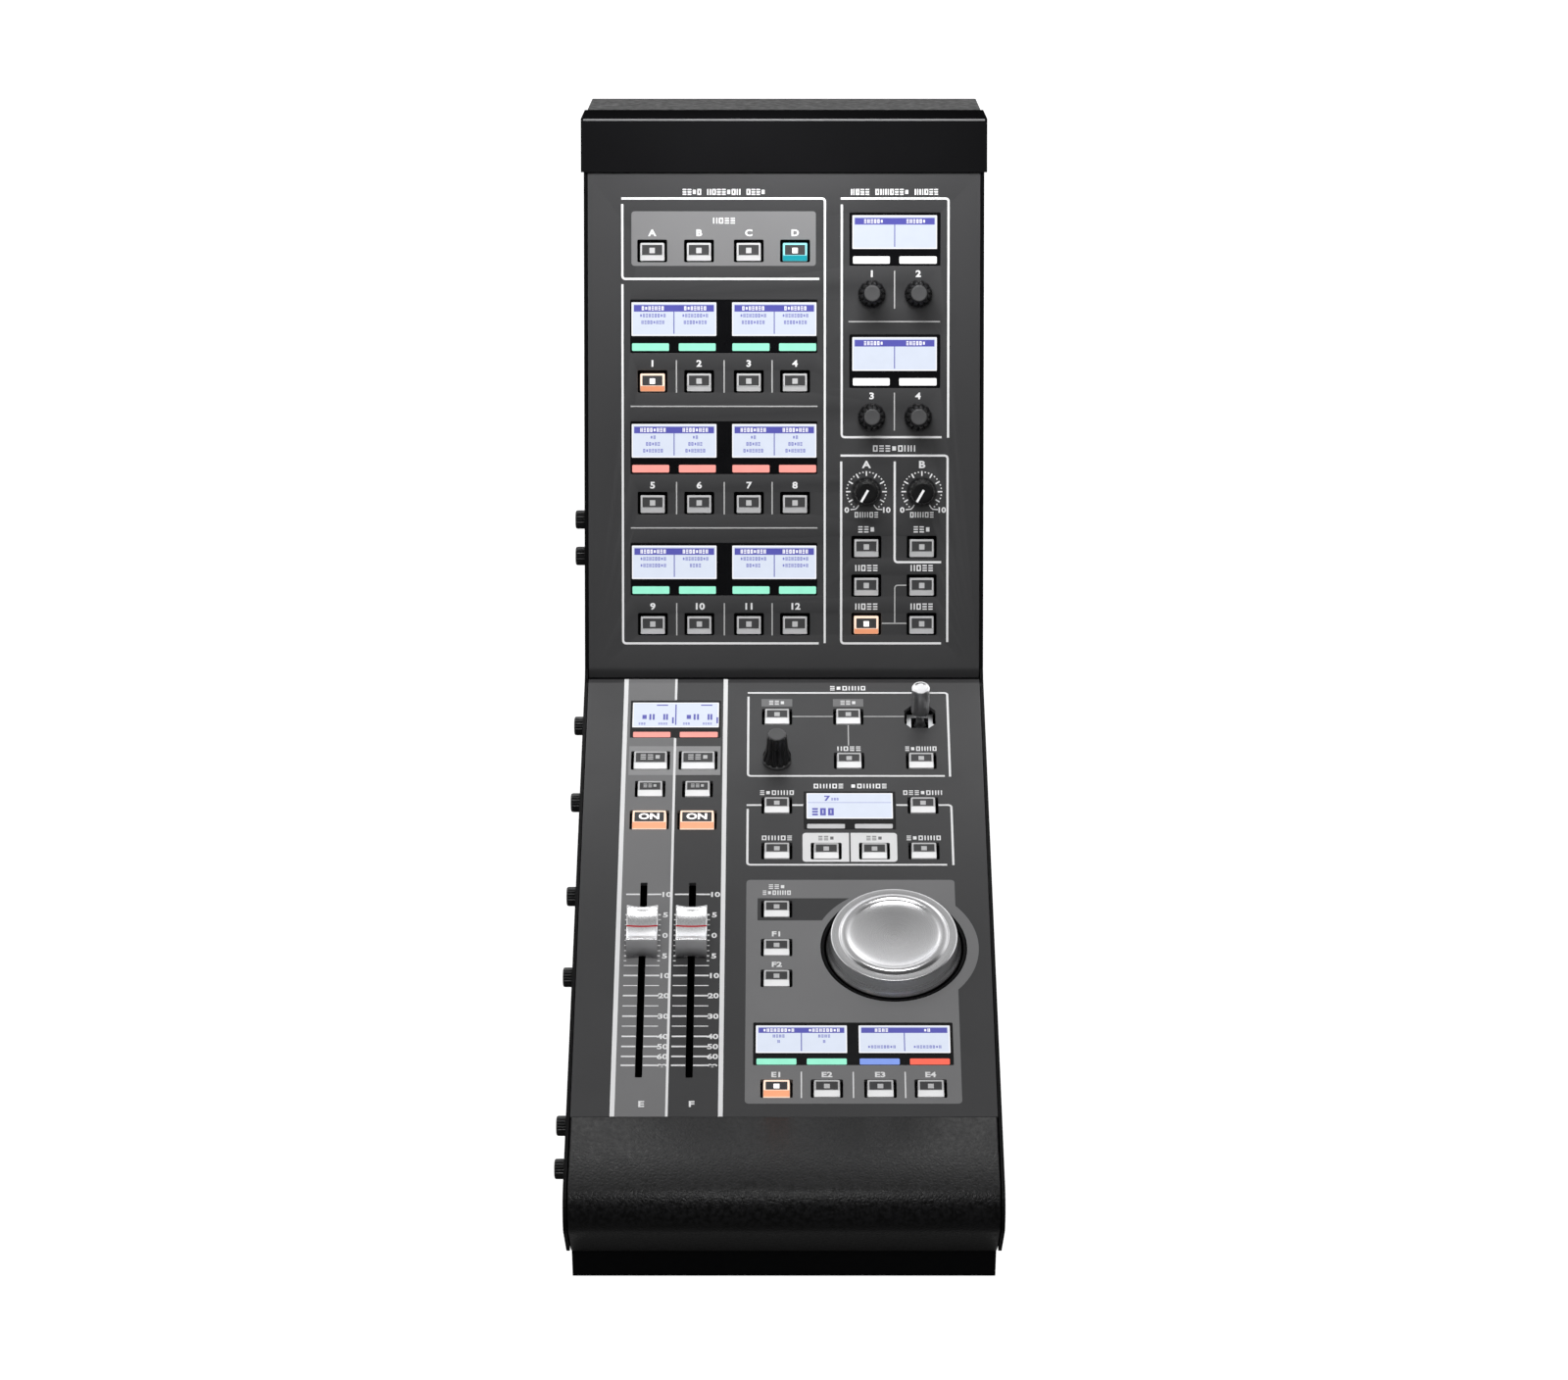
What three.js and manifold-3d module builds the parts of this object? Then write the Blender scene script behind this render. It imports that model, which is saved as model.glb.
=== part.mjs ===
// Narrow wedge-shaped desk controller: sloping lower deck with two faders and a jog wheel,
// steep upper deck with key rows and display windows, padded armrest, black top cover.
// Millimetres, +Z up. The front (armrest) faces -Y. The origin is on the floor, at the centre
// of the whole object's box.

import * as THREE from "three";
import { mergeVertices } from "three/addons/utils/BufferGeometryUtils.js";
import Module from "manifold-3d";

const wasm = await Module();
wasm.setup();

// ---- Driving dimensions -------------------------------------------------------------------

const GAP = 0.3; // clearance between neighbouring pieces
const PANEL_HALF = 90.7; // half width of both deck panels
const SIDE_IN = 91; // inner face of a side panel
const BODY_HALF = 92.5; // outer face of a side panel
const COVER_HALF = 93.75; // outer face of the top cover
const TRAY_HALF = 90.5;
const FOOT_HALF = 89.5;
const STUD_TIP = 97.3; // how far the joining studs reach to the left
const LOWER_TILT = THREE.MathUtils.degToRad(8);
const UPPER_TILT = THREE.MathUtils.degToRad(57.6);
const RIDGE_TILT = THREE.MathUtils.degToRad(33);
const LOWER_LENGTH = 268.2; // armrest edge to hinge line
const RIDGE_LENGTH = 4.9;
const UPPER_LENGTH = 229.3;
const COVER_FACE = 23.5;
const COVER_TOP = 45;
const COVER_SLOPE = THREE.MathUtils.degToRad(-24);
const FRONT_EDGE = new THREE.Vector2(-232, 72); // (y, z) where the lower deck meets the armrest
const NOSE_Y = -280;
const NOSE_RADIUS = 12;
const NOSE_HEEL = new THREE.Vector2(-261, 22.3); // where the armrest's underside ends
const REAR_Y = 280;
const REAR_RADIUS = 14;
const BACK_FOOT = new THREE.Vector2(258, 22.3);
const BACK_CHAMFER_Z = 42;
const SHEET = 2; // thickness of the deck panels
const SHELL = 1.2; // thickness of the cover and the rear panel
const FOOT_HEIGHT = 3;
const BOARD_TOP = -11.4; // top face of a display board, below the deck surface
const BOARD_THICK = 1.6;

// Key caps: outer size, and the length of the flat top behind the sloping front.
const KEY = { w: 11.35, h: 8.2, top: 5.8 };
const WIDE_KEY = { w: 15.3, h: 9.8, top: 7.2 };
const CAP_HEIGHT = 1.6; // how far a key cap stands above the deck
const CAP_DRAFT = 0.2; // how much a cap draws in towards its top, per side
const KEY_MARGIN = { w: 2.5, h: 2.2 }; // how much larger than its cap a key's hole is
const KEY_DROP = 0.5; // how far a cap's middle is below the middle of its hole
const KEY_FLANGE = { side: 1.8, end: 1.6, low: -5.6, high: -4.4 };
const SHAFT_RADIUS = 3;
const SHAFT_END = -8.4;
const ENCODER = 12;
const USER_KNOB = { skirt: 6.4, body: 4.6, height: 14 };
const LEVEL_KNOB = { skirt: 6.8, body: 5.4, height: 13 };
const TALL_KNOB = { skirt: 6.5, body: 4.4, height: 17.2 };
const PAD_THICK = 5; // armrest shell
const TRAY_FRONT_Y = -256;
const FOOT_DEPTH = 12;
const STUD_RADIUS = 4.35;
const STUD_DEPTH = 15; // stud axis below the deck surface
const STUD_LOWER_V = [-15.8, 8.2, 94.2, 143.2, 202.2, 252.2];
const STUD_UPPER_V = [52, 69];
const RAIL_X = -86;
const RAIL_THICK = 3;
const RAIL_WIDTH = 10;

// On the rear panel, (x, z) of each centre with width and height.
const SOCKETS = [
  { x: -52, z: 84, w: 28, h: 22 },
  { x: -14, z: 84, w: 17, h: 15 },
  { x: 10, z: 84, w: 17, h: 15 },
];
const SOCKET_DEPTH = 18;
const SWITCH = { x: 45, z: 84, w: 13, h: 20, rocker: 17, depth: 5, tilt: 7 };
const SOCKET_RIM = 2.5; // wall round a socket's mouth
const CARRIER = { margin: 5, half: 17 }; // plate behind the sockets
const VENT = { rows: 6, z: 150, pitch: 9, w: 60, h: 3, spread: 40 };

// Inside the case. Slots are given by their count, pitch, width and half length.
const BASE_SLOTS = { count: 6, pitch: 22, width: 6, half: 40 };
const SUPPLY = { x: 0, y: 185, w: 110, d: 90, h: 42, wall: 1.5, floor: 3, ear: 8, step: 10 };
const SUPPLY_SLOTS = { count: 5, pitch: 16, width: 4, half: 30 };
const TERMINALS = { half: 20, reach: 8, low: 8, high: 20 };
const FADER_BODY = { margin: 9, over: 10, floor: -34, motor: 8, motorEnd: -48 };
const POST_RADIUS = 2.5;
const JOG_CLEARANCE = 4.5; // between the jog well and the board round it

// Upper deck, (x, v) with v up the slope from the ridge.
const USER_X = [-60.9, -39.3, -16.3, 5.1];
const BANK_V = 193.5;
const USER_ROW_V = [133.3, 77, 20.8];
const KNOB_X = [40.6, 62.1];
const KNOB_V = [173.6, 116.8];
const MONITOR_X = [38.2, 63.9];
const LEVEL_V = 82.3;
const UPPER_WINDOWS = [
  { x: [-71.1, 15.4], v: [146.4, 171] },
  { x: [-71.1, 15.4], v: [90.4, 114.8] },
  { x: [-71.1, 15.4], v: [34.1, 58.5] },
  { x: [30.3, 72.3], v: [186.6, 211.1] },
  { x: [30.3, 72.3], v: [130.2, 154.9] },
];

// Lower deck, (x, v) with v up the slope from the armrest edge.
const STRIP_X = [-60.9, -39.2];
const FADER_X = [-62.2, -40.6];
const FADER_V = [22.4, 137.4];
const FADER_REST_V = 102.9;
const FADER_SLOT = 3.1;
const FADER_CAP = { width: 13.6, length: 23.6, crest: 11.3, dip: 6.3, base: 1.2 };
const FADER_WALL = 2;
const EFFECT_X = [-3.2, 18.3, 41.1, 62.6];
const EFFECT_V = 16.1;
const JOG = { x: 48.15, v: 98.2, well: 32.2 };
const JOYSTICK = { x: 62.6, v: 242.9 };
const JOYSTICK_WELL = 14.3;
const JOYSTICK_CORNER = 3;
const JOYSTICK_PIVOT = -6;
const PANNER_KNOB = { x: -3.2, v: 214.2 };
const LOWER_WINDOWS = [
  { x: [-70.7, -29.1], v: [229.2, 253.6] },
  { x: [8.9, 50.4], v: [170.5, 194.5] },
  { x: [-13.3, 72.8], v: [29.4, 53.9] },
];

// Single keys: [name, x, v, cap size]
const UPPER_KEYS = [
  ["dim_key_a", MONITOR_X[0], 56.6, KEY],
  ["dim_key_b", MONITOR_X[1], 56.6, KEY],
  ["mono_key", MONITOR_X[0], 38.7, KEY],
  ["alternate_key_2", MONITOR_X[1], 38.7, KEY],
  ["main_key", MONITOR_X[0], 20.9, KEY],
  ["alternate_key_1", MONITOR_X[1], 20.9, KEY],
];
const LOWER_KEYS = [
  ["select_key_e", STRIP_X[0], 214.4, WIDE_KEY],
  ["select_key_f", STRIP_X[1], 214.4, WIDE_KEY],
  ["cue_key_e", STRIP_X[0] + 0.2, 196.1, KEY],
  ["cue_key_f", STRIP_X[1], 196.1, KEY],
  ["on_key_e", STRIP_X[0] + 0.2, 176.5, WIDE_KEY],
  ["on_key_f", STRIP_X[1], 176.5, WIDE_KEY],
  ["relative_key", -3.2, 243, KEY],
  ["absolute_key", 29.6, 243, KEY],
  ["grab_key", 29.7, 214.3, KEY],
  ["assign_key", 62.6, 214.3, KEY],
  ["update_key", -3.25, 185.7, KEY],
  ["preview_key", 62.8, 185.7, KEY],
  ["store_key", -3.2, 157.1, KEY],
  ["decrease_key", 18.9, 156.9, KEY],
  ["increase_key", 40.5, 156.9, KEY],
  ["recall_key", 62.65, 157.1, KEY],
  ["jog_key", -3.25, 121.3, KEY],
  ["function_key_1", -3.25, 98.1, KEY],
  ["function_key_2", -3.25, 79.8, KEY],
];

// ---- Materials ----------------------------------------------------------------------------

function finish(color, roughness, metalness = 0) {
  return new THREE.MeshStandardMaterial({ color, roughness, metalness });
}

const PANEL_PAINT = finish(0x404041, 0.55, 0.2);
const BLACK_PAINT = finish(0x141415, 0.6, 0.2);
const LEATHER = finish(0x1c1c1d, 0.75);
const BLACK_PLASTIC = finish(0x111112, 0.5);
const KEY_PLASTIC = finish(0x9a9a9a, 0.45);
const SATIN_METAL = finish(0xb4b5b7, 0.3, 0.9);
const ZINC = finish(0x8f9296, 0.4, 0.8);
const BOARD = finish(0x1f4a35, 0.6);
const RUBBER = finish(0x0e0e0e, 0.9);

// ---- Geometry helpers ---------------------------------------------------------------------

function toSolid(geometry) {
  const bare = geometry.index ? geometry.clone() : geometry;
  bare.deleteAttribute("normal");
  bare.deleteAttribute("uv");
  const merged = mergeVertices(bare, 1e-4);
  const vertProperties = new Float32Array(merged.attributes.position.array);
  const triVerts = new Uint32Array(merged.index.array);
  return new wasm.Manifold(new wasm.Mesh({ numProp: 3, vertProperties, triVerts }));
}

function toGeometry(solid) {
  const mesh = solid.getMesh();
  const geometry = new THREE.BufferGeometry();
  geometry.setAttribute("position", new THREE.BufferAttribute(mesh.vertProperties, 3));
  geometry.setIndex(new THREE.BufferAttribute(mesh.triVerts, 1));
  return geometry;
}

function join(...geometries) {
  return toGeometry(geometries.map(toSolid).reduce((sum, next) => sum.add(next)));
}

function cut(body, tools) {
  return toGeometry(tools.map(toSolid).reduce((left, tool) => left.subtract(tool), toSolid(body)));
}

// A box given by its low and high corners.
function box(low, high) {
  const size = high.map((value, axis) => value - low[axis]);
  const centre = high.map((value, axis) => (value + low[axis]) / 2);
  return new THREE.BoxGeometry(...size).translate(...centre);
}

function rod(radius, low, high, x, y, segments = 16) {
  const geometry = new THREE.CylinderGeometry(radius, radius, high - low, segments);
  return geometry.rotateX(Math.PI / 2).translate(x, y, (low + high) / 2);
}

// A turned piece about Z, from a closed list of [radius, z].
function turned(profile, segments = 24) {
  const points = profile.map(([r, z]) => new THREE.Vector2(r, z));
  return new THREE.LatheGeometry(points, segments).rotateX(Math.PI / 2);
}

function slab(shape, low, high, curveSegments = 6) {
  const geometry = new THREE.ExtrudeGeometry(shape, {
    depth: high - low,
    bevelEnabled: false,
    curveSegments,
  });
  return geometry.translate(0, 0, low);
}

// Extrudes a side profile, drawn in (y, z), from x = low to x = high.
function across(shape, low, high, curveSegments = 8) {
  const turn = new THREE.Matrix4().makeBasis(
    new THREE.Vector3(0, 1, 0),
    new THREE.Vector3(0, 0, 1),
    new THREE.Vector3(1, 0, 0),
  );
  const geometry = slab(shape, 0, high - low, curveSegments);
  return geometry.applyMatrix4(turn).translate(low, 0, 0);
}

function along(start, angle, distance) {
  return new THREE.Vector2(
    start.x + Math.cos(angle) * distance,
    start.y + Math.sin(angle) * distance,
  );
}

// The line through the points, moved sideways by the offset (positive is to its left).
function offsetLine(points, offset) {
  return points.map((point, index) => {
    const before = points[Math.max(index - 1, 0)];
    const after = points[Math.min(index + 1, points.length - 1)];
    const first = (index ? point.clone().sub(before) : after.clone().sub(point)).normalize();
    const second = (index < points.length - 1 ? after.clone().sub(point) : first.clone()).normalize();
    const normal = new THREE.Vector2(-first.y - second.y, first.x + second.x).normalize();
    const mitre = normal.x * -first.y + normal.y * first.x;
    return point.clone().addScaledVector(normal, offset / mitre);
  });
}

// A bent sheet whose section lies between two offsets of one line.
function bentSheet(points, inner, outer, halfWidth) {
  const outline = [...offsetLine(points, outer), ...offsetLine(points, inner).reverse()];
  return across(new THREE.Shape(outline), -halfWidth, halfWidth);
}

function arcPoints(centre, radius, from, to, steps) {
  return Array.from({ length: steps + 1 }, (_, index) =>
    along(centre, from + ((to - from) * index) / steps, radius),
  );
}

function rectangle({ x, v }, margin = 0) {
  const [left, right] = [x[0] - margin, x[1] + margin];
  const [bottom, top] = [v[0] - margin, v[1] + margin];
  return new THREE.Shape([
    new THREE.Vector2(left, bottom),
    new THREE.Vector2(right, bottom),
    new THREE.Vector2(right, top),
    new THREE.Vector2(left, top),
  ]);
}

function around(x, v, width, height) {
  return { x: [x - width / 2, x + width / 2], v: [v - height / 2, v + height / 2] };
}

function disc(x, v, radius) {
  return new THREE.Shape().absarc(x, v, radius, 0, Math.PI * 2);
}

// Rectangular sections stacked along Z, each [half width, half height, z, middle in v].
function stacked(sections) {
  const corners = [[-1, -1], [1, -1], [1, 1], [-1, 1]];
  const vertices = sections.flatMap(([w, h, z, middle = 0]) =>
    corners.flatMap(([i, j]) => [i * w, middle + j * h, z]),
  );
  const faces = [0, 2, 1, 0, 3, 2];
  for (let level = 0; level < sections.length - 1; level += 1) {
    for (let side = 0; side < 4; side += 1) {
      const a = level * 4 + side;
      const b = level * 4 + ((side + 1) % 4);
      faces.push(a, b, b + 4, a, b + 4, a + 4);
    }
  }
  const top = (sections.length - 1) * 4;
  faces.push(top, top + 1, top + 2, top, top + 2, top + 3);
  const geometry = new THREE.BufferGeometry();
  geometry.setAttribute("position", new THREE.Float32BufferAttribute(vertices, 3));
  return geometry.setIndex(faces);
}

// ---- Scene graph --------------------------------------------------------------------------

const desk = new THREE.Group();
const lowerDeck = new THREE.Group();
const upperDeck = new THREE.Group();

const hinge = along(FRONT_EDGE, LOWER_TILT, LOWER_LENGTH);
const ridge = along(hinge, RIDGE_TILT, RIDGE_LENGTH);
const panelTop = along(ridge, UPPER_TILT, UPPER_LENGTH);
const crown = along(panelTop, UPPER_TILT, COVER_FACE);
const coverBack = along(crown, COVER_SLOPE, COVER_TOP);

desk.position.x = (STUD_TIP - COVER_HALF) / 2;
desk.add(lowerDeck, upperDeck);
lowerDeck.position.set(0, FRONT_EDGE.x, FRONT_EDGE.y);
lowerDeck.rotation.x = LOWER_TILT;
upperDeck.position.set(0, ridge.x, ridge.y);
upperDeck.rotation.x = UPPER_TILT;

function add(parent, name, geometry, material, position = [0, 0, 0]) {
  const mesh = new THREE.Mesh(geometry, material);
  mesh.name = name;
  mesh.position.set(...position);
  parent.add(mesh);
}

// ---- Outline of the case ------------------------------------------------------------------

const noseCentre = new THREE.Vector2(
  NOSE_Y + NOSE_RADIUS,
  FRONT_EDGE.y
    - Math.tan(LOWER_TILT) * (FRONT_EDGE.x - NOSE_Y - NOSE_RADIUS)
    - NOSE_RADIUS / Math.cos(LOWER_TILT),
);

// Top of the nose, round to where the underside leaves it.
function noseArc(radius = NOSE_RADIUS) {
  const toHeel = NOSE_HEEL.clone().sub(noseCentre);
  const tangent = Math.atan2(toHeel.y, toHeel.x) - Math.acos(radius / toHeel.length());
  return arcPoints(noseCentre, radius, LOWER_TILT + Math.PI / 2, tangent + Math.PI * 2, 8);
}

// From behind the crown down the back of the case to its foot, with a rounded shoulder.
function backLine() {
  const rearFace = REAR_Y - GAP - SHELL;
  const turn = Math.PI / 2 + COVER_SLOPE;
  const reach = (rearFace - crown.x) / Math.cos(COVER_SLOPE);
  const start = along(crown, COVER_SLOPE, reach - REAR_RADIUS * Math.tan(turn / 2));
  const centre = along(start, turn, -REAR_RADIUS);
  const shoulder = arcPoints(centre, REAR_RADIUS, turn, 0, 6);
  return [...shoulder, new THREE.Vector2(rearFace, BACK_CHAMFER_Z), BACK_FOOT.clone()];
}

function addSidePanels() {
  const outline = [
    NOSE_HEEL,
    ...backLine().reverse(),
    crown,
    ridge,
    hinge,
    FRONT_EDGE,
    ...noseArc(),
  ];
  const solidSide = new THREE.Shape(outline);
  const studSide = new THREE.Shape(outline);
  studSide.holes = studPoints().map((point) => disc(point.x, point.y, STUD_RADIUS + GAP));
  add(desk, "right_side_panel", across(solidSide, SIDE_IN, BODY_HALF), BLACK_PAINT);
  add(desk, "left_side_panel", across(studSide, -BODY_HALF, -SIDE_IN, 5), BLACK_PAINT);
}

// ---- Joining rail -------------------------------------------------------------------------

function studPoints() {
  const below = (start, tilt) => (v) => along(along(start, tilt, v), tilt - Math.PI / 2, STUD_DEPTH);
  return [
    ...STUD_LOWER_V.map(below(FRONT_EDGE, LOWER_TILT)),
    ...STUD_UPPER_V.map(below(ridge, UPPER_TILT)),
  ];
}

function addJoiningRail() {
  const line = [
    along(FRONT_EDGE, LOWER_TILT, STUD_LOWER_V[0] - RAIL_WIDTH),
    hinge,
    along(ridge, UPPER_TILT, STUD_UPPER_V[1] + RAIL_WIDTH),
  ];
  const centre = offsetLine(line, -STUD_DEPTH);
  const strip = [...offsetLine(centre, RAIL_WIDTH / 2), ...offsetLine(centre, -RAIL_WIDTH / 2).reverse()];
  const bar = across(new THREE.Shape(strip), RAIL_X - RAIL_THICK, RAIL_X);
  const studs = studPoints().map(({ x, y }) => {
    const stud = new THREE.CylinderGeometry(STUD_RADIUS, STUD_RADIUS, STUD_TIP + RAIL_X - 1, 12);
    return stud.rotateZ(Math.PI / 2).translate((RAIL_X - 1 - STUD_TIP) / 2, x, y);
  });
  add(desk, "joining_stud_rail", join(bar, ...studs), BLACK_PLASTIC);
}

// ---- Outer shells -------------------------------------------------------------------------

function addArmrest() {
  const outline = [FRONT_EDGE, ...noseArc(), NOSE_HEEL];
  add(desk, "armrest", bentSheet(outline, PAD_THICK, 0, PANEL_HALF), LEATHER);
}

function addTopCover() {
  const start = along(panelTop, UPPER_TILT, GAP);
  const line = [start, crown, coverBack];
  const strip = bentSheet(line, GAP, GAP + SHELL, COVER_HALF);
  const [front, peak, back] = offsetLine(line, GAP + SHELL);
  const flange = new THREE.Shape([front, along(back, UPPER_TILT, -COVER_FACE), back, peak]);
  const flanges = [
    across(flange, BODY_HALF + GAP, COVER_HALF),
    across(flange, -COVER_HALF, -BODY_HALF - GAP),
  ];
  add(desk, "top_cover", join(strip, ...flanges), BLACK_PAINT);
}

function addRearPanel() {
  const start = along(coverBack, COVER_SLOPE, GAP);
  const sheet = bentSheet([start, ...backLine()], GAP, GAP + SHELL, BODY_HALF);
  const window = ({ x, z, w, h }, margin) =>
    box(
      [x - w / 2 - margin, REAR_Y - 5, z - h / 2 - margin],
      [x + w / 2 + margin, REAR_Y + 5, z + h / 2 + margin],
    );
  const holes = [...SOCKETS, SWITCH].map((fitting) => window(fitting, GAP));
  for (let row = 0; row < VENT.rows; row += 1) {
    for (const x of [-VENT.spread, VENT.spread]) {
      holes.push(window({ x, z: VENT.z + row * VENT.pitch, w: VENT.w, h: VENT.h }, 0));
    }
  }
  add(desk, "rear_panel", cut(sheet, holes), BLACK_PAINT);
}

// ---- Base ---------------------------------------------------------------------------------

// Parallel slots along Y, centred on x.
function slotRow({ count, pitch, width, half }, x, y, low, high) {
  return Array.from({ length: count }, (_, index) => {
    const middle = x + (index - (count - 1) / 2) * pitch;
    return box([middle - width / 2, y - half, low], [middle + width / 2, y + half, high]);
  });
}

function addBase() {
  const [front, back] = [TRAY_FRONT_Y, BACK_FOOT.x];
  const [floor, top] = [FOOT_HEIGHT + GAP, BACK_FOOT.y - GAP];
  const outer = box([-TRAY_HALF, front, floor], [TRAY_HALF, back, top]);
  const inner = box(
    [-TRAY_HALF + SHEET, front + SHEET, floor + SHEET],
    [TRAY_HALF - SHEET, back - SHEET, top + SHEET],
  );
  const slots = slotRow(BASE_SLOTS, -2, 0, 0, floor + SHEET + 1);
  add(desk, "base_tray", cut(outer, [inner, ...slots]), BLACK_PAINT);
  const foot = box([-FOOT_HALF, -FOOT_DEPTH / 2, 0], [FOOT_HALF, FOOT_DEPTH / 2, FOOT_HEIGHT]);
  add(desk, "front_foot_bar", foot, RUBBER, [0, front + 4 + FOOT_DEPTH / 2, 0]);
  add(desk, "rear_foot_bar", foot.clone(), RUBBER, [0, back - 4 - FOOT_DEPTH / 2, 0]);
}

// ---- Electrics at the back ----------------------------------------------------------------

function addPowerSupply() {
  const { x, y, w, d, h, wall, floor, ear, step } = SUPPLY;
  const base = FOOT_HEIGHT + SHEET + 2 * GAP;
  const top = base + h;
  const [left, right, front, back] = [x - w / 2, x + w / 2, y - d / 2, y + d / 2];
  const can = box([left, front, base], [right, back, top]);
  const ears = box([left - ear, front + step, base], [right + ear, back - step, base + wall]);
  const terminals = box(
    [x - TERMINALS.half, back - 1, base + TERMINALS.low],
    [x + TERMINALS.half, back + TERMINALS.reach, base + TERMINALS.high],
  );
  const inside = box(
    [left + wall, front + wall, base + floor],
    [right - wall, back - wall, top - wall],
  );
  const slots = slotRow(SUPPLY_SLOTS, x, y, top - 2 * wall, top + 1);
  add(desk, "power_supply", cut(join(can, ears, terminals), [inside, ...slots]), ZINC);
}

function addSockets() {
  const back = REAR_Y - SHELL - GAP;
  const low = Math.min(...SOCKETS.map(({ x, w }) => x - w / 2)) - CARRIER.margin;
  const high = Math.max(...SOCKETS.map(({ x, w }) => x + w / 2)) + CARRIER.margin;
  const level = SOCKETS[0].z;
  const carrier = box(
    [low, back - SHEET, level - CARRIER.half],
    [high, back, level + CARRIER.half],
  );
  const block = ({ x, z, w, h }, rim, front, rear) =>
    box([x - w / 2 + rim, front, z - h / 2 + rim], [x + w / 2 - rim, rear, z + h / 2 - rim]);
  const bodies = SOCKETS.map((socket) => block(socket, 0, REAR_Y - SOCKET_DEPTH - 4, REAR_Y - 0.1));
  const mouths = SOCKETS.map((socket) => block(socket, SOCKET_RIM, REAR_Y - SOCKET_DEPTH, REAR_Y + 1));
  add(desk, "rear_connectors", cut(join(carrier, ...bodies), mouths), BLACK_PLASTIC);
}

// The rocker stands tilted towards "on"; its ends are arcs about the pivot.
function addPowerSwitch() {
  const reach = Math.hypot(SWITCH.rocker / 2, SWITCH.depth + 2);
  const corner = Math.atan2(SWITCH.rocker / 2, SWITCH.depth + 2);
  const tilt = THREE.MathUtils.degToRad(SWITCH.tilt);
  const centre = new THREE.Vector2(0, 0);
  const upper = arcPoints(centre, reach, corner, Math.PI / 2, 4);
  const lower = arcPoints(centre, reach, -Math.PI / 2, -corner, 4);
  const face = new THREE.Vector2(SWITCH.depth - 0.5, 0);
  const rocker = new THREE.Shape([face, ...upper, ...lower]);
  const geometry = across(rocker, -SWITCH.w / 2 + 0.5, SWITCH.w / 2 - 0.5).rotateX(tilt);
  add(desk, "power_switch", geometry, BLACK_PLASTIC, [SWITCH.x, REAR_Y - SWITCH.depth - 3, SWITCH.z]);
}

// ---- Deck panels and boards ---------------------------------------------------------------

function keyHoles(keys) {
  return keys.map(([, x, v, size]) =>
    slab(rectangle(around(x, v, size.w + KEY_MARGIN.w, size.h + KEY_MARGIN.h)), -SHEET - 1, 1),
  );
}

function rowKeys(xs, v) {
  return xs.map((x) => ["", x, v, KEY]);
}

const rowsOnUpper = [BANK_V, ...USER_ROW_V].flatMap((v) => rowKeys(USER_X, v));
const knobsOnUpper = KNOB_V.flatMap((v) => KNOB_X.map((x) => [x, v]));
const levelsOnUpper = MONITOR_X.map((x) => [x, LEVEL_V]);

function addUpperPanel() {
  const line = [
    along(new THREE.Vector2(0, 0), RIDGE_TILT - UPPER_TILT, GAP - RIDGE_LENGTH),
    new THREE.Vector2(0, 0),
    new THREE.Vector2(UPPER_LENGTH, 0),
  ];
  const sheet = bentSheet(line, -SHEET, 0, PANEL_HALF);
  const holes = [
    ...keyHoles([...rowsOnUpper, ...UPPER_KEYS]),
    ...UPPER_WINDOWS.map((window) => slab(rectangle(window), -SHEET - 1, 1)),
    ...[...knobsOnUpper, ...levelsOnUpper].map(([x, v]) => rod(SHAFT_RADIUS + 1, -SHEET - 1, 1, x, v, 12)),
  ];
  add(upperDeck, "upper_panel", cut(sheet, holes), PANEL_PAINT);
}

function addLowerPanel() {
  const outline = rectangle({ x: [-PANEL_HALF, PANEL_HALF], v: [GAP, LOWER_LENGTH - GAP] });
  const sheet = slab(outline, -SHEET, 0);
  const half = JOYSTICK_WELL / 2;
  const bevel = half - JOYSTICK_CORNER;
  const well = new THREE.Shape(
    [[half, -bevel], [half, bevel], [bevel, half], [-bevel, half],
      [-half, bevel], [-half, -bevel], [-bevel, -half], [bevel, -half]]
      .map(([x, v]) => new THREE.Vector2(JOYSTICK.x + x, JOYSTICK.v + v)),
  );
  const slots = FADER_X.map((x) => {
    const sides = [x - FADER_SLOT / 2, x + FADER_SLOT / 2];
    return slab(rectangle({ x: sides, v: FADER_V }), -SHEET - 1, 1);
  });
  const holes = [
    ...keyHoles([...LOWER_KEYS, ...rowKeys(EFFECT_X, EFFECT_V)]),
    ...LOWER_WINDOWS.map((window) => slab(rectangle(window), -SHEET - 1, 1)),
    ...slots,
    slab(well, -SHEET - 1, 1),
    rod(JOG.well, -SHEET - 1, 1, JOG.x, JOG.v, 40),
    rod(SHAFT_RADIUS + 1, -SHEET - 1, 1, PANNER_KNOB.x, PANNER_KNOB.v, 12),
  ];
  add(lowerDeck, "lower_panel", cut(sheet, holes), PANEL_PAINT);
}

// A board that carries display modules, encoder bodies and standoffs.
function board(outline, holes, windows, encoders, standoffs) {
  const plate = slab(outline, BOARD_TOP - BOARD_THICK, BOARD_TOP);
  const modules = windows.map((window) => slab(rectangle(window, -GAP), BOARD_TOP - 1, -0.2));
  const bodies = encoders.map(([x, v]) =>
    slab(rectangle(around(x, v, ENCODER, ENCODER)), BOARD_TOP - 1, -SHEET - 2),
  );
  const posts = standoffs.map(([x, v]) => rod(POST_RADIUS, BOARD_TOP - 1, -SHEET - GAP, x, v, 8));
  const bores = encoders.map(([x, v]) => rod(SHAFT_RADIUS + 0.4, SHAFT_END - GAP, 0, x, v, 12));
  return cut(join(plate, ...modules, ...bodies, ...posts), [...holes, ...bores]);
}

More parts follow.
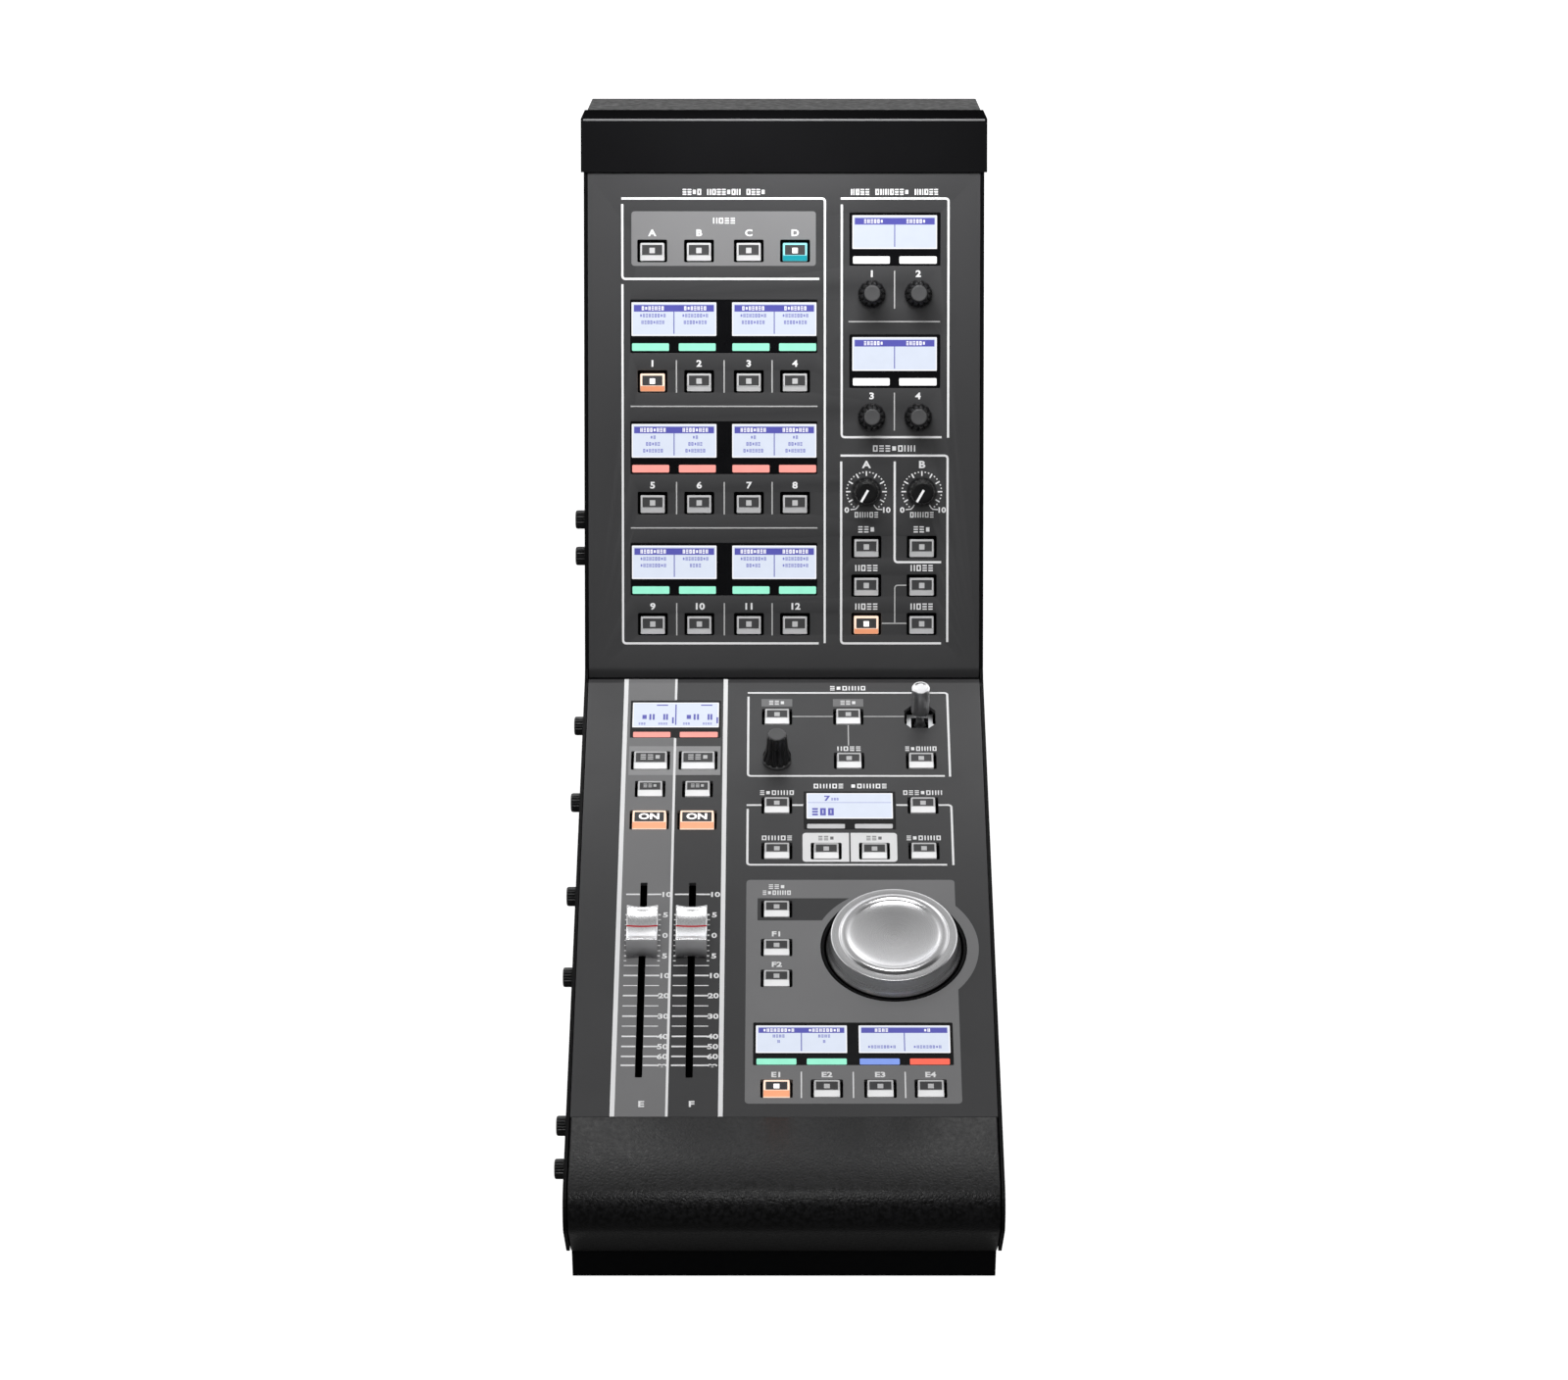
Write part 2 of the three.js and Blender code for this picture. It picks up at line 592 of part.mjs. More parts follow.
function addBoards() {
  const upperOutline = rectangle({ x: [-76, 78], v: [12, 216] });
  const upperPosts = [[-73.2, 20], [22, 20], [74.8, 60], [22, 205], [-73.2, 205]];
  const upper = board(upperOutline, [], UPPER_WINDOWS, [...knobsOnUpper, ...levelsOnUpper], upperPosts);
  add(upperDeck, "upper_display_board", upper, BOARD);

  const corner = { left: -73, middle: -18, right: 77, bottom: 8, step: 162, top: 260 };
  const { left, middle, right, bottom, step, top } = corner;
  const lowerOutline = new THREE.Shape(
    [[left, step], [middle, step], [middle, bottom], [right, bottom], [right, top], [left, top]]
      .map(([x, v]) => new THREE.Vector2(x, v)),
  );
  const jogHole = rod(JOG.well + JOG_CLEARANCE, -30, 0, JOG.x, JOG.v, 24);
  const stickHole = slab(rectangle(around(JOYSTICK.x, JOYSTICK.v, 15, 15)), -30, 0);
  const lowerPosts = [[-14, 62], [68, 62], [-14, 140], [46, 226], [-24, 240]];
  const knob = [[PANNER_KNOB.x, PANNER_KNOB.v]];
  const lower = board(lowerOutline, [jogHole, stickHole], LOWER_WINDOWS, knob, lowerPosts);
  add(lowerDeck, "lower_display_board", lower, BOARD);
}

// ---- Keys ---------------------------------------------------------------------------------

// A cap whose front slopes down to the deck, on the flange that holds it under the deck.
function keyCap({ w, h, top }) {
  const [halfW, halfH] = [w / 2, h / 2];
  const { side, end, low, high } = KEY_FLANGE;
  return stacked([
    [halfW + side, halfH + end, low],
    [halfW + side, halfH + end, high],
    [halfW, halfH, high],
    [halfW, halfH, 0],
    [halfW - CAP_DRAFT, top / 2 - CAP_DRAFT / 2, CAP_HEIGHT, (h - top - CAP_DRAFT) / 2],
  ]);
}

// Four caps moulded on one carrier strip.
function keyRow(xs) {
  const carrier = box([xs[0], -2.5, KEY_FLANGE.low], [xs[3], 2.5, KEY_FLANGE.high]);
  return join(carrier, ...xs.map((x) => keyCap(KEY).translate(x, 0, 0)));
}

function addKeys() {
  for (const [name, x, v, size] of UPPER_KEYS) {
    add(upperDeck, name, keyCap(size), KEY_PLASTIC, [x, v - KEY_DROP, 0]);
  }
  for (const [name, x, v, size] of LOWER_KEYS) {
    add(lowerDeck, name, keyCap(size), KEY_PLASTIC, [x, v - KEY_DROP, 0]);
  }
  add(upperDeck, "bank_keys", keyRow(USER_X), KEY_PLASTIC, [0, BANK_V - KEY_DROP, 0]);
  USER_ROW_V.forEach((v, index) => {
    const place = [0, v - KEY_DROP, 0];
    add(upperDeck, `user_keys_row_${index + 1}`, keyRow(USER_X), KEY_PLASTIC, place);
  });
  add(lowerDeck, "effect_keys", keyRow(EFFECT_X), KEY_PLASTIC, [0, EFFECT_V - KEY_DROP, 0]);
}

// ---- Knobs --------------------------------------------------------------------------------

// A knob on its shaft: skirt, waist and slightly dished top.
function knob({ skirt, body, height }) {
  return turned([
    [0, SHAFT_END],
    [SHAFT_RADIUS, SHAFT_END],
    [SHAFT_RADIUS, 0.6],
    [skirt, 0.6],
    [skirt, 2.6],
    [body + 0.5, 4],
    [body, height - 0.6],
    [body - 0.6, height],
    [0, height],
  ], 20);
}

function addKnobs() {
  knobsOnUpper.forEach(([x, v], index) => {
    add(upperDeck, `user_knob_${index + 1}`, knob(USER_KNOB), BLACK_PLASTIC, [x, v, 0]);
  });
  levelsOnUpper.forEach(([x, v], index) => {
    add(upperDeck, `level_knob_${"ab"[index]}`, knob(LEVEL_KNOB), BLACK_PLASTIC, [x, v, 0]);
  });
  const { x, v } = PANNER_KNOB;
  add(lowerDeck, "panner_knob", knob(TALL_KNOB), BLACK_PLASTIC, [x, v, 0]);
}

// ---- Jog wheel ----------------------------------------------------------------------------

function addJog() {
  const place = [JOG.x, JOG.v, 0];
  const lip = JOG.well - GAP;
  const bearing = turned([
    [4.5, -20], [9, -20], [9, -12], [lip + 3, -10], [lip + 3, -SHEET - GAP], [lip, -SHEET - GAP],
    [lip, 0], [lip - 1.2, 0], [lip - 1.2, -7.5], [12, -8], [8, -3.2], [4.5, -3.2], [4.5, -20],
  ], 40);
  add(lowerDeck, "jog_bearing", bearing, BLACK_PLASTIC, place);
  const wheel = turned([
    [0, -18], [4, -18], [4, -1.6], [29.7, -1.6], [29.7, -0.4], [28.2, 0], [27.9, 7.6], [27.3, 8.3],
    [24.4, 8.4], [23.1, 9.8], [20.5, 9.8], [18.9, 8.8], [10, 6.9], [0, 6.4],
  ], 40);
  add(lowerDeck, "jog_wheel", wheel, SATIN_METAL, place);
}

// ---- Joystick -----------------------------------------------------------------------------

function addJoystick() {
  const pivot = [JOYSTICK.x, JOYSTICK.v, JOYSTICK_PIVOT];
  const ring = slab(rectangle(around(0, 0, 12, 12)), -1.5, 1.5);
  const bore = slab(rectangle(around(0, 0, 8, 8)), -3, 3);
  const axle = new THREE.CylinderGeometry(1, 1, 15, 8).rotateZ(Math.PI / 2);
  const gimbal = cut(join(ring, axle), [bore]);
  add(lowerDeck, "joystick_gimbal", gimbal, ZINC, pivot);
  const stem = turned([
    [0, -6], [1.8, -6], [1.8, -2.6], [2.8, -1.2], [2.8, 1.2], [1.8, 2.6], [1.8, 9], [3.9, 9],
    [4.15, 9.6], [4.15, 24], [3.6, 24.9], [0, 24.9],
  ], 16);
  const trunnion = new THREE.CylinderGeometry(0.8, 0.8, 7.2, 8);
  add(lowerDeck, "joystick_stick", join(stem, trunnion), SATIN_METAL, pivot);
}

// ---- Faders -------------------------------------------------------------------------------

function addFaders() {
  const { margin, over, floor, motor, motorEnd } = FADER_BODY;
  const [bottom, top] = [FADER_V[0] - over, FADER_V[1] + over];
  const body = box([FADER_X[0] - margin, bottom, floor], [FADER_X[1] + margin, top, -SHEET - 1]);
  const motors = FADER_X.map((x) => rod(motor, motorEnd, floor + 1, x, top - 14, 12));
  const channels = FADER_X.map((x) => box([x - 2, FADER_V[0] - 2, -20], [x + 2, FADER_V[1] + 2, 0]));
  const inside = FADER_X.map((x) =>
    box(
      [x - margin + FADER_WALL, bottom + FADER_WALL, floor + FADER_WALL],
      [x + margin - FADER_WALL, top - FADER_WALL, -SHEET - 1 - FADER_WALL],
    ),
  );
  add(lowerDeck, "fader_unit", cut(join(body, ...motors), [...channels, ...inside]), ZINC);
  const { length, crest, dip, base } = FADER_CAP;
  const half = length / 2;
  const outline = new THREE.Shape()
    .moveTo(-half, base)
    .lineTo(half, base)
    .lineTo(half - 1.2, crest - 0.4)
    .lineTo(half - 1.9, crest)
    .quadraticCurveTo(0, dip, 1.9 - half, crest)
    .lineTo(1.2 - half, crest - 0.4);
  const cap = across(outline, -FADER_CAP.width / 2, FADER_CAP.width / 2);
  const blade = box([-0.6, -4, -14], [0.6, 4, 4]);
  FADER_X.forEach((x, index) => {
    add(lowerDeck, `fader_${"ef"[index]}`, join(cap, blade), SATIN_METAL, [x, FADER_REST_V, 0]);
  });
}

addSidePanels();
addJoiningRail();
addArmrest();
addTopCover();
addRearPanel();
addBase();
addPowerSupply();
addSockets();
addPowerSwitch();
addUpperPanel();
addLowerPanel();
addBoards();
addKeys();
addKnobs();
addJog();
addJoystick();
addFaders();

export default desk;
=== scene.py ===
"""Looks of the audio mixing control desk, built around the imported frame.

Deck pieces are drawn flat, in millimetres: x across, v up the slope, z out of the panel.
"""

import math
from itertools import pairwise

import bpy
import bmesh
from mathutils import Matrix, Vector


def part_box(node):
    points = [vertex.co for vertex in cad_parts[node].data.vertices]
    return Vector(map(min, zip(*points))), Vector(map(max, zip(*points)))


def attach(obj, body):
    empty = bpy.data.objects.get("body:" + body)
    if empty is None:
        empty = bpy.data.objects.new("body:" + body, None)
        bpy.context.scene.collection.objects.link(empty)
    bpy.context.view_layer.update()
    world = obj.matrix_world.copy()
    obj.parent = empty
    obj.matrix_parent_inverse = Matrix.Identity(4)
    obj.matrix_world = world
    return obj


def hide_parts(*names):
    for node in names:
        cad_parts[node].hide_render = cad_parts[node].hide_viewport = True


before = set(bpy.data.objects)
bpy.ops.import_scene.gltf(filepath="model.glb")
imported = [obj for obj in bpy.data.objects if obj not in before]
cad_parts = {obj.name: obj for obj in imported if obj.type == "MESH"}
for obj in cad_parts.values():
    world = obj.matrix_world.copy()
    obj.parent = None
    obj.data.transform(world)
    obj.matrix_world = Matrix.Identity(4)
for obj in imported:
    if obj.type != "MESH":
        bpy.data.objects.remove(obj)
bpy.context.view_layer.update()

MM = 0.001
BODY = "desk_body"

# ---- Driving dimensions, in millimetres ----

LOWER_TILT = math.radians(8)
UPPER_TILT = math.radians(57.6)
RIDGE_TILT = math.radians(33)
LOWER_LENGTH = 268.2
RIDGE_LENGTH = 4.9
UPPER_LENGTH = 229.3
FRONT_EDGE = Vector((0, -232, 72))
PANEL_HALF = 90.7
SHEET = 2.0
PRINT = 0.06
PANEL_GAP = 0.3

panel_low, panel_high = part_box("lower_panel")
CENTRE_X = (panel_low.x + panel_high.x) / 2 / MM

# ---- Colours, linear ----


def srgb(r, g, b):
    """Linear colour of an 8-bit screen colour."""
    return tuple(((c / 255 + 0.055) / 1.055) ** 2.4 if c > 10 else c / 3295 for c in (r, g, b))


def grey(level, blue=1):
    """Linear grey of an 8-bit level, with a little more blue."""
    return srgb(level, level, level + blue)


# ---- Materials ----


def add_node(tree, kind, **inputs):
    """A new shader node; each input gets a value or another node's output."""
    node = tree.nodes.new("ShaderNode" + kind)
    for name, value in inputs.items():
        socket = node.inputs[name.replace("_", " ")]
        if isinstance(value, bpy.types.NodeSocket):
            tree.links.new(value, socket)
        else:
            socket.default_value = value
    return node


def span(tree, value, low, high, start, end):
    """Number that runs from low to high as value goes from start to end."""
    limits = {"From_Min": start, "From_Max": end, "To_Min": low, "To_Max": high}
    return add_node(tree, "MapRange", Value=value, **limits).outputs["Result"]


class Surface:
    """A node material: a Principled shader with helpers for noise, bump and mixing."""

    def __init__(self, name, color, roughness, metallic=0.0, **sockets):
        self.material = bpy.data.materials.new(name)
        self.material.use_nodes = True
        self.material.diffuse_color = (*color, 1)
        self.tree = self.material.node_tree
        self.shader = self.tree.nodes["Principled BSDF"]
        self.color = color
        self.coordinates = add_node(self.tree, "TexCoord").outputs["Object"]
        self.put(Base_Color=(*color, 1), Roughness=roughness, Metallic=metallic, **sockets)

    def put(self, **sockets):
        for name, value in sockets.items():
            self.shader.inputs[name.replace("_", " ")].default_value = value

    def drive(self, socket, output):
        self.tree.links.new(output, self.shader.inputs[socket])

    def stretched(self, scale):
        """Object coordinates scaled by (x, y, z)."""
        mapping = add_node(self.tree, "Mapping", Vector=self.coordinates, Scale=scale)
        return mapping.outputs["Vector"]

    def noise(self, scale, detail, vector=None):
        vector = vector or self.coordinates
        node = add_node(self.tree, "TexNoise", Scale=scale, Detail=detail, Vector=vector)
        return node.outputs["Fac"]

    def cells(self, scale, feature="DISTANCE_TO_EDGE"):
        node = add_node(self.tree, "TexVoronoi", Scale=scale, Vector=self.coordinates)
        node.feature = feature
        return node.outputs["Distance"]

    def ramp(self, value, low, high, dark, light):
        """Colour that runs from dark to light as value goes from low to high."""
        node = add_node(self.tree, "ValToRGB", Fac=value)
        for stop, place, color in zip(node.color_ramp.elements, (low, high), (dark, light)):
            stop.position = place
            stop.color = (*color, 1)
        return node.outputs["Color"]

    def colour_from(self, value, low, high, spread):
        """Base colour that varies by the spread around the material's own."""
        dark = tuple(c * (1 - spread) for c in self.color)
        light = tuple(min(c * (1 + spread), 1) for c in self.color)
        self.drive("Base Color", self.ramp(value, low, high, dark, light))

    def rough_from(self, value, low, high):
        """Roughness that runs from low to high over the middle of a noise."""
        self.drive("Roughness", span(self.tree, value, low, high, 0.3, 0.7))

    def bump(self, height, distance, strength):
        """Bump of the given depth in metres; a second call adds to the first."""
        node = add_node(self.tree, "Bump", Strength=strength, Distance=distance, Height=height)
        earlier = self.shader.inputs["Normal"].links
        if earlier:
            self.tree.links.new(earlier[0].from_socket, node.inputs["Normal"])
        self.drive("Normal", node.outputs["Normal"])


def paint(name, color, roughness, **sockets):
    """Sprayed paint: fine orange-peel grain and a little tone and gloss variation."""
    surface = Surface(name, color, roughness, **sockets)
    surface.colour_from(surface.noise(14, 4), 0.3, 0.7, 0.05)
    surface.rough_from(surface.noise(35, 3), roughness - 0.06, roughness + 0.08)
    surface.bump(surface.noise(900, 2), 2e-5, 0.6)
    return surface.material


def plastic(name, color, roughness, depth=1e-5, **sockets):
    """Moulded plastic: near-even colour, faint spark-eroded grain."""
    surface = Surface(name, color, roughness, **sockets)
    surface.colour_from(surface.noise(60, 2), 0.35, 0.65, 0.06)
    surface.rough_from(surface.noise(120, 3), roughness - 0.05, roughness + 0.07)
    surface.bump(surface.noise(2500, 2), depth, 0.5)
    return surface.material


def textured_black(name, color, roughness, depth, gloss):
    """Powder coat with a pebbled texture."""
    surface = Surface(name, color, roughness, Specular_IOR_Level=gloss)
    pebbles = surface.cells(1400, feature="F1")
    surface.colour_from(surface.noise(9, 4), 0.3, 0.7, 0.18)
    surface.rough_from(surface.noise(300, 3), roughness - 0.08, roughness + 0.1)
    surface.bump(surface.noise(260, 3), depth * 1.5, 0.5)
    surface.bump(pebbles, depth, 0.8)
    return surface.material


def leather(name, color):
    """Leather-grain skin: irregular creased cells a millimetre across, softer in places."""
    surface = Surface(name, color, 0.42, Specular_IOR_Level=0.32)
    creases = span(surface.tree, surface.cells(560), 0.0, 1.0, 0.0, 0.3)
    folds = surface.noise(560, 4)
    surface.colour_from(folds, 0.38, 0.62, 0.8)
    surface.rough_from(folds, 0.34, 0.52)
    surface.bump(folds, 2.2e-4, 0.75)
    surface.bump(creases, 1.2e-4, 0.7)
    return surface.material


def metal(name, color, roughness, scale=(1, 1, 1), depth=8e-7):
    """Bare metal with fine tool marks, stretched by the scale."""
    surface = Surface(name, color, roughness, 1.0)
    marks = surface.noise(1500, 3, surface.stretched(scale))
    surface.rough_from(marks, roughness - 0.03, roughness + 0.05)
    surface.colour_from(surface.noise(25, 3), 0.3, 0.7, 0.04)
    surface.bump(marks, depth, 0.4)
    return surface.material


def turned_metal(name, color, roughness):
    """Metal with fine concentric marks about the piece's own Z axis."""
    surface = Surface(name, color, roughness, 1.0, Anisotropic=0.25)
    tree = surface.tree
    length = add_node(tree, "VectorMath", Vector=surface.stretched((1, 1, 0)))
    length.operation = "LENGTH"
    rings = add_node(tree, "TexNoise", Scale=9000)
    rings.noise_dimensions = "1D"
    tree.links.new(length.outputs["Value"], rings.inputs["W"])
    tangent = add_node(tree, "Tangent")
    tangent.direction_type = "RADIAL"
    tangent.axis = "Z"
    surface.drive("Tangent", tangent.outputs["Tangent"])
    surface.rough_from(rings.outputs["Fac"], roughness - 0.02, roughness + 0.03)
    surface.bump(rings.outputs["Fac"], 2e-7, 0.3)
    return surface.material


def lamp(name, color, strength, base=0.5, grain=0.08):
    """Lit plastic or display: shines in its colour, a little unevenly."""
    surface = Surface(name, tuple(c * base for c in color), 0.35, Emission_Strength=strength)
    dark = tuple(c * (1 - grain) for c in color)
    glow = surface.ramp(surface.noise(180, 2), 0.3, 0.7, dark, color)
    surface.drive("Emission Color", glow)
    return surface.material


PANEL = paint("panel_paint", grey(55), 0.42, Specular_IOR_Level=0.35)
PANEL_DARK = paint("strip_dark", grey(54), 0.55, Specular_IOR_Level=0.3)
GREY_PRINT = paint("grey_plate", grey(114), 0.5, Specular_IOR_Level=0.3)
MID_PRINT = paint("mid_plate", grey(136), 0.5)
LIGHT_PRINT = paint("light_print", grey(226), 0.5)
WHITE_PRINT = paint("white_print", grey(246), 0.5)
DIM_PRINT = paint("dim_print", grey(178, 0), 0.5)
RED_PRINT = paint("red_line", srgb(170, 12, 28), 0.5, Specular_IOR_Level=0.2)
CASE = textured_black("case_black", grey(9), 0.55, 2.5e-5, 0.1)
COVER = textured_black("cover_black", grey(16), 0.5, 4e-5, 0.0)
# Light grey for a thin bead on the black hood's fold: a painted highlight, not the hood's own
# colour.
FOLD_HIGHLIGHT = paint("painted_fold_highlight", grey(104), 0.4)
LEATHER = leather("armrest_leather", grey(11))
GAP_BLACK = plastic("gap_black", grey(5), 0.7, Specular_IOR_Level=0.1)
KNOB = plastic("knob_black", grey(15), 0.32, 1.5e-5)
KNOB_TOP = plastic("knob_top", grey(70), 0.45)
WELL = plastic("well_black", grey(5), 0.45, Specular_IOR_Level=0.1)
KEY_RING = plastic("key_ring", grey(194), 0.4)
KEY_BAND = plastic("key_band", grey(244), 0.35)
KEY_FACE = plastic("key_face", grey(62), 0.45, Specular_IOR_Level=0.3)
KEY_DOT = plastic("key_dot", grey(190), 0.4)
LIT_RING = lamp("lit_ring", srgb(255, 222, 200), 0.85)
LIT_BAND = lamp("lit_band", srgb(246, 162, 120), 0.72)
CYAN_RING = lamp("cyan_ring", srgb(150, 232, 240), 0.65)
CYAN_BAND = lamp("cyan_band", srgb(40, 184, 200), 0.45)
LIT_DOT = lamp("lit_dot", srgb(255, 250, 248), 1.0)
SCREEN = lamp("screen", srgb(226, 234, 250), 0.86, 0.12, 0.03)
SCREEN_EDGE = lamp("screen_edge", srgb(250, 250, 255), 0.95, 0.12, 0.02)
INK = lamp("screen_ink", srgb(100, 100, 200), 0.6, 0.2)
INK_LIGHT = lamp("screen_ink_light", srgb(140, 144, 216), 0.7, 0.2)
MINT = lamp("bar_mint", srgb(150, 236, 205), 0.85, 0.3)
SALMON = lamp("bar_salmon", srgb(246, 156, 146), 0.85, 0.3)
BAR_WHITE = lamp("bar_white", grey(252, 0), 0.95, 0.3)
BAR_GREY = plastic("bar_grey", grey(200, 2), 0.4)
BAR_BLUE = lamp("bar_blue", srgb(130, 158, 236), 0.8, 0.3)
BAR_RED = lamp("bar_red", srgb(246, 104, 84), 0.85, 0.3)
WINDOW = plastic("window_black", grey(8, 2), 0.3, Specular_IOR_Level=0.2)
SILVER = metal("fader_silver", (0.74, 0.74, 0.75), 0.27, (1, 4, 4))
SATIN = turned_metal("wheel_metal", (0.66, 0.66, 0.67), 0.28)
FADER_END = plastic("fader_end", grey(158, 2), 0.3)
STICK = metal("stick_metal", (0.62, 0.62, 0.63), 0.3, (4, 4, 1))
ZINC = metal("plated_steel", (0.6, 0.61, 0.62), 0.35)
SOCKET_GOLD = metal("contact_gold", (0.83, 0.62, 0.28), 0.3)
SOLDER_MASK = plastic("circuit_board", srgb(14, 22, 18), 0.4)
RUBBER = plastic("foot_rubber", grey(10, 0), 0.8, 4e-5, Specular_IOR_Level=0.2)

# ---- Placing pieces ----


def deck_matrix(tilt, y, z):
    return Matrix.Translation(Vector((CENTRE_X, y, z)) * MM) @ Matrix.Rotation(tilt, 4, "X")


def slope(tilt, distance):
    return Vector((0, math.cos(tilt), math.sin(tilt))) * distance


HINGE = FRONT_EDGE + slope(LOWER_TILT, LOWER_LENGTH)
RIDGE = HINGE + slope(RIDGE_TILT, RIDGE_LENGTH)
LOWER = deck_matrix(LOWER_TILT, FRONT_EDGE.y, FRONT_EDGE.z)
UPPER = deck_matrix(UPPER_TILT, RIDGE.y, RIDGE.z)
WORLD = Matrix.Translation((CENTRE_X * MM, 0, 0))


def mesh_of(curve):
    """Mesh of a text or curve."""
    holder = bpy.data.objects.new(curve.name, curve)
    bpy.context.scene.collection.objects.link(holder)
    bpy.context.view_layer.update()
    graph = bpy.context.evaluated_depsgraph_get()
    data = bpy.data.meshes.new_from_object(holder.evaluated_get(graph))
    bpy.data.objects.remove(holder)
    return data


class Builder:
    """Gathers closed solids in millimetres, each face with a material, into one object."""

    def __init__(self):
        self.mesh = bmesh.new()
        self.materials = []

    def index(self, material):
        if material not in self.materials:
            self.materials.append(material)
        return self.materials.index(material)

    def face(self, vertices, material, smooth=False):
        face = self.mesh.faces.new(vertices)
        face.material_index = self.index(material)
        face.smooth = smooth

    def ring(self, loop):
        """New vertices along a loop of points."""
        return [self.mesh.verts.new(Vector(p) * MM) for p in loop]

    def band(self, low, high, material, smooth=False):
        """Quads all the way round between two rings."""
        for k in range(len(low)):
            n = (k + 1) % len(low)
            self.face((low[k], low[n], high[n], high[k]), material, smooth)

    def loops(self, loops, materials, smooth=False):
        """Skins a stack of loops, each a list of (x, v, z); materials is one per band."""
        rings = [self.ring(loop) for loop in loops]
        for (low, high), material in zip(pairwise(rings), materials):
            self.band(low, high, material, smooth)
        self.face(rings[0][::-1], materials[0])
        self.face(rings[-1], materials[-1])

    def prism(self, outline, low, high, material, bevel=0.0):
        """A plate with the outline's shape, its upper edge bevelled."""
        loops = [at(outline, low), at(outline, high - bevel)]
        if bevel:
            loops.append(at(inset(outline, bevel), high))
        self.loops(loops, [material] * (len(loops) - 1))

    def stroke(self, points, width, material, z=0.0):
        """A printed line of the given width along the points."""
        self.prism(widen(points, width / 2), z, z + PRINT, material)

    def turned(self, profile, material, centre=(0, 0), steps=48, smooth=True):
        """A solid of revolution about Z from (radius, z) points that start and end on the axis."""
        (_, bottom), *middle, (_, top) = profile
        rings = [self.ring(at(disc(*centre, radius, steps), z)) for radius, z in middle]
        for low, high in pairwise(rings):
            self.band(low, high, material, smooth)
        for ring, z in ((rings[0][::-1], bottom), (rings[-1], top)):
            tip = self.mesh.verts.new(Vector((*centre, z)) * MM)
            for k in range(steps):
                self.face((ring[k], ring[(k + 1) % steps], tip), material, smooth)

    def take(self, data, material):
        """Adds a mesh, which is then deleted."""
        before = len(self.mesh.faces)
        self.mesh.from_mesh(data)
        self.mesh.faces.ensure_lookup_table()
        for face in self.mesh.faces[before:]:
            face.material_index = self.index(material)
        bpy.data.meshes.remove(data)

    def text(self, body, x, v, size, z=0.0, material=LIGHT_PRINT, bold=0.045):
        """A number or single letter, centred on (x, v), as thin raised print."""
        curve = bpy.data.curves.new("glyphs", "FONT")
        curve.body = body
        curve.size = size * MM * 1.38
        curve.align_x = "CENTER"
        curve.extrude = PRINT * MM / 2
        curve.offset = size * bold * MM
        curve.resolution_u = 3
        flat = mesh_of(curve)
        spot = Vector((x, v, z + PRINT / 2)) * MM
        centred = Matrix.Diagonal((1.2, 1, 1, 1)) @ Matrix.Translation((0, -size * MM / 2, 0))
        flat.transform(Matrix.Translation(spot) @ centred)
        self.take(flat, material)

    def facing_out(self):
        """Turns every face outward."""
        bmesh.ops.recalc_face_normals(self.mesh, faces=self.mesh.faces)

    def done(self, name, matrix, body=BODY, slot=None, replaces=()):
        """Makes the object, rides it on the body and hides the nodes it stands for; the slot is not
        used.
        """
        bmesh.ops.remove_doubles(self.mesh, verts=self.mesh.verts, dist=1e-8)
        data = bpy.data.meshes.new(name)
        self.mesh.to_mesh(data)
        self.mesh.free()
        for material in self.materials:
            data.materials.append(material)
        piece = bpy.data.objects.new(name, data)
        bpy.context.scene.collection.objects.link(piece)
        piece.matrix_world = matrix
        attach(piece, body)
        if replaces:
            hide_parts(*replaces)
        return piece


# ---- Outlines ----


def at(outline, z):
    """The outline's points at height z."""
    return [(x, v, z) for x, v in outline]


def rounded(x, v, width, height, radius=0.0, steps=4):
    """Counter-clockwise rectangle centred on (x, v), with rounded corners."""
    if not radius:
        steps = 0
    corners = [(1, -1, -90), (1, 1, 0), (-1, 1, 90), (-1, -1, 180)]
    points = []
    for i, j, start in corners:
        cx = x + i * (width / 2 - radius)
        cv = v + j * (height / 2 - radius)
        for k in range(steps + 1):
            angle = math.radians(start + 90 * k / max(steps, 1))
            points.append((cx + radius * math.cos(angle), cv + radius * math.sin(angle)))
    return points


def span_box(x, v, radius=0.0):
    """Rounded rectangle between x[0]..x[1] and v[0]..v[1]."""
    return rounded(sum(x) / 2, sum(v) / 2, x[1] - x[0], v[1] - v[0], radius)


def arc(x, v, radius, start, end, steps=8):
    """Points of an arc between two angles in degrees."""
    angles = [math.radians(start + (end - start) * k / steps) for k in range(steps + 1)]
    return [(x + radius * math.cos(a), v + radius * math.sin(a)) for a in angles]


def disc(x, v, radius, steps=48):
    return arc(x, v, radius, 0, 360 - 360 / steps, steps - 1)


def normals(points, closed):
    """Unit mitre direction and its stretch at each point of a path, pointing to its right."""
    count = len(points)
    result = []
    for k, point in enumerate(points):
        before = points[k - 1] if closed or k else point
        after = points[(k + 1) % count] if closed or k < count - 1 else point
        a = Vector(point) - Vector(before)
        b = Vector(after) - Vector(point)
        a = (a if a.length else b).normalized()
        b = (b if b.length else a).normalized()
        side = Vector((a.y + b.y, -a.x - b.x)).normalized()
        result.append(side / max(side.dot(Vector((a.y, -a.x))), 0.3))
    return result


def inset(outline, distance):
    """A counter-clockwise outline moved inward by the distance."""
    sides = normals(outline, True)
    return [(p[0] - s.x * distance, p[1] - s.y * distance) for p, s in zip(outline, sides)]


def widen(points, half):
    """Outline of a band with the given half width along an open path."""
    sides = normals(points, False)
    right = [(p[0] + s.x * half, p[1] + s.y * half) for p, s in zip(points, sides)]
    left = [(p[0] - s.x * half, p[1] - s.y * half) for p, s in zip(points, sides)]
    return right + left[::-1]


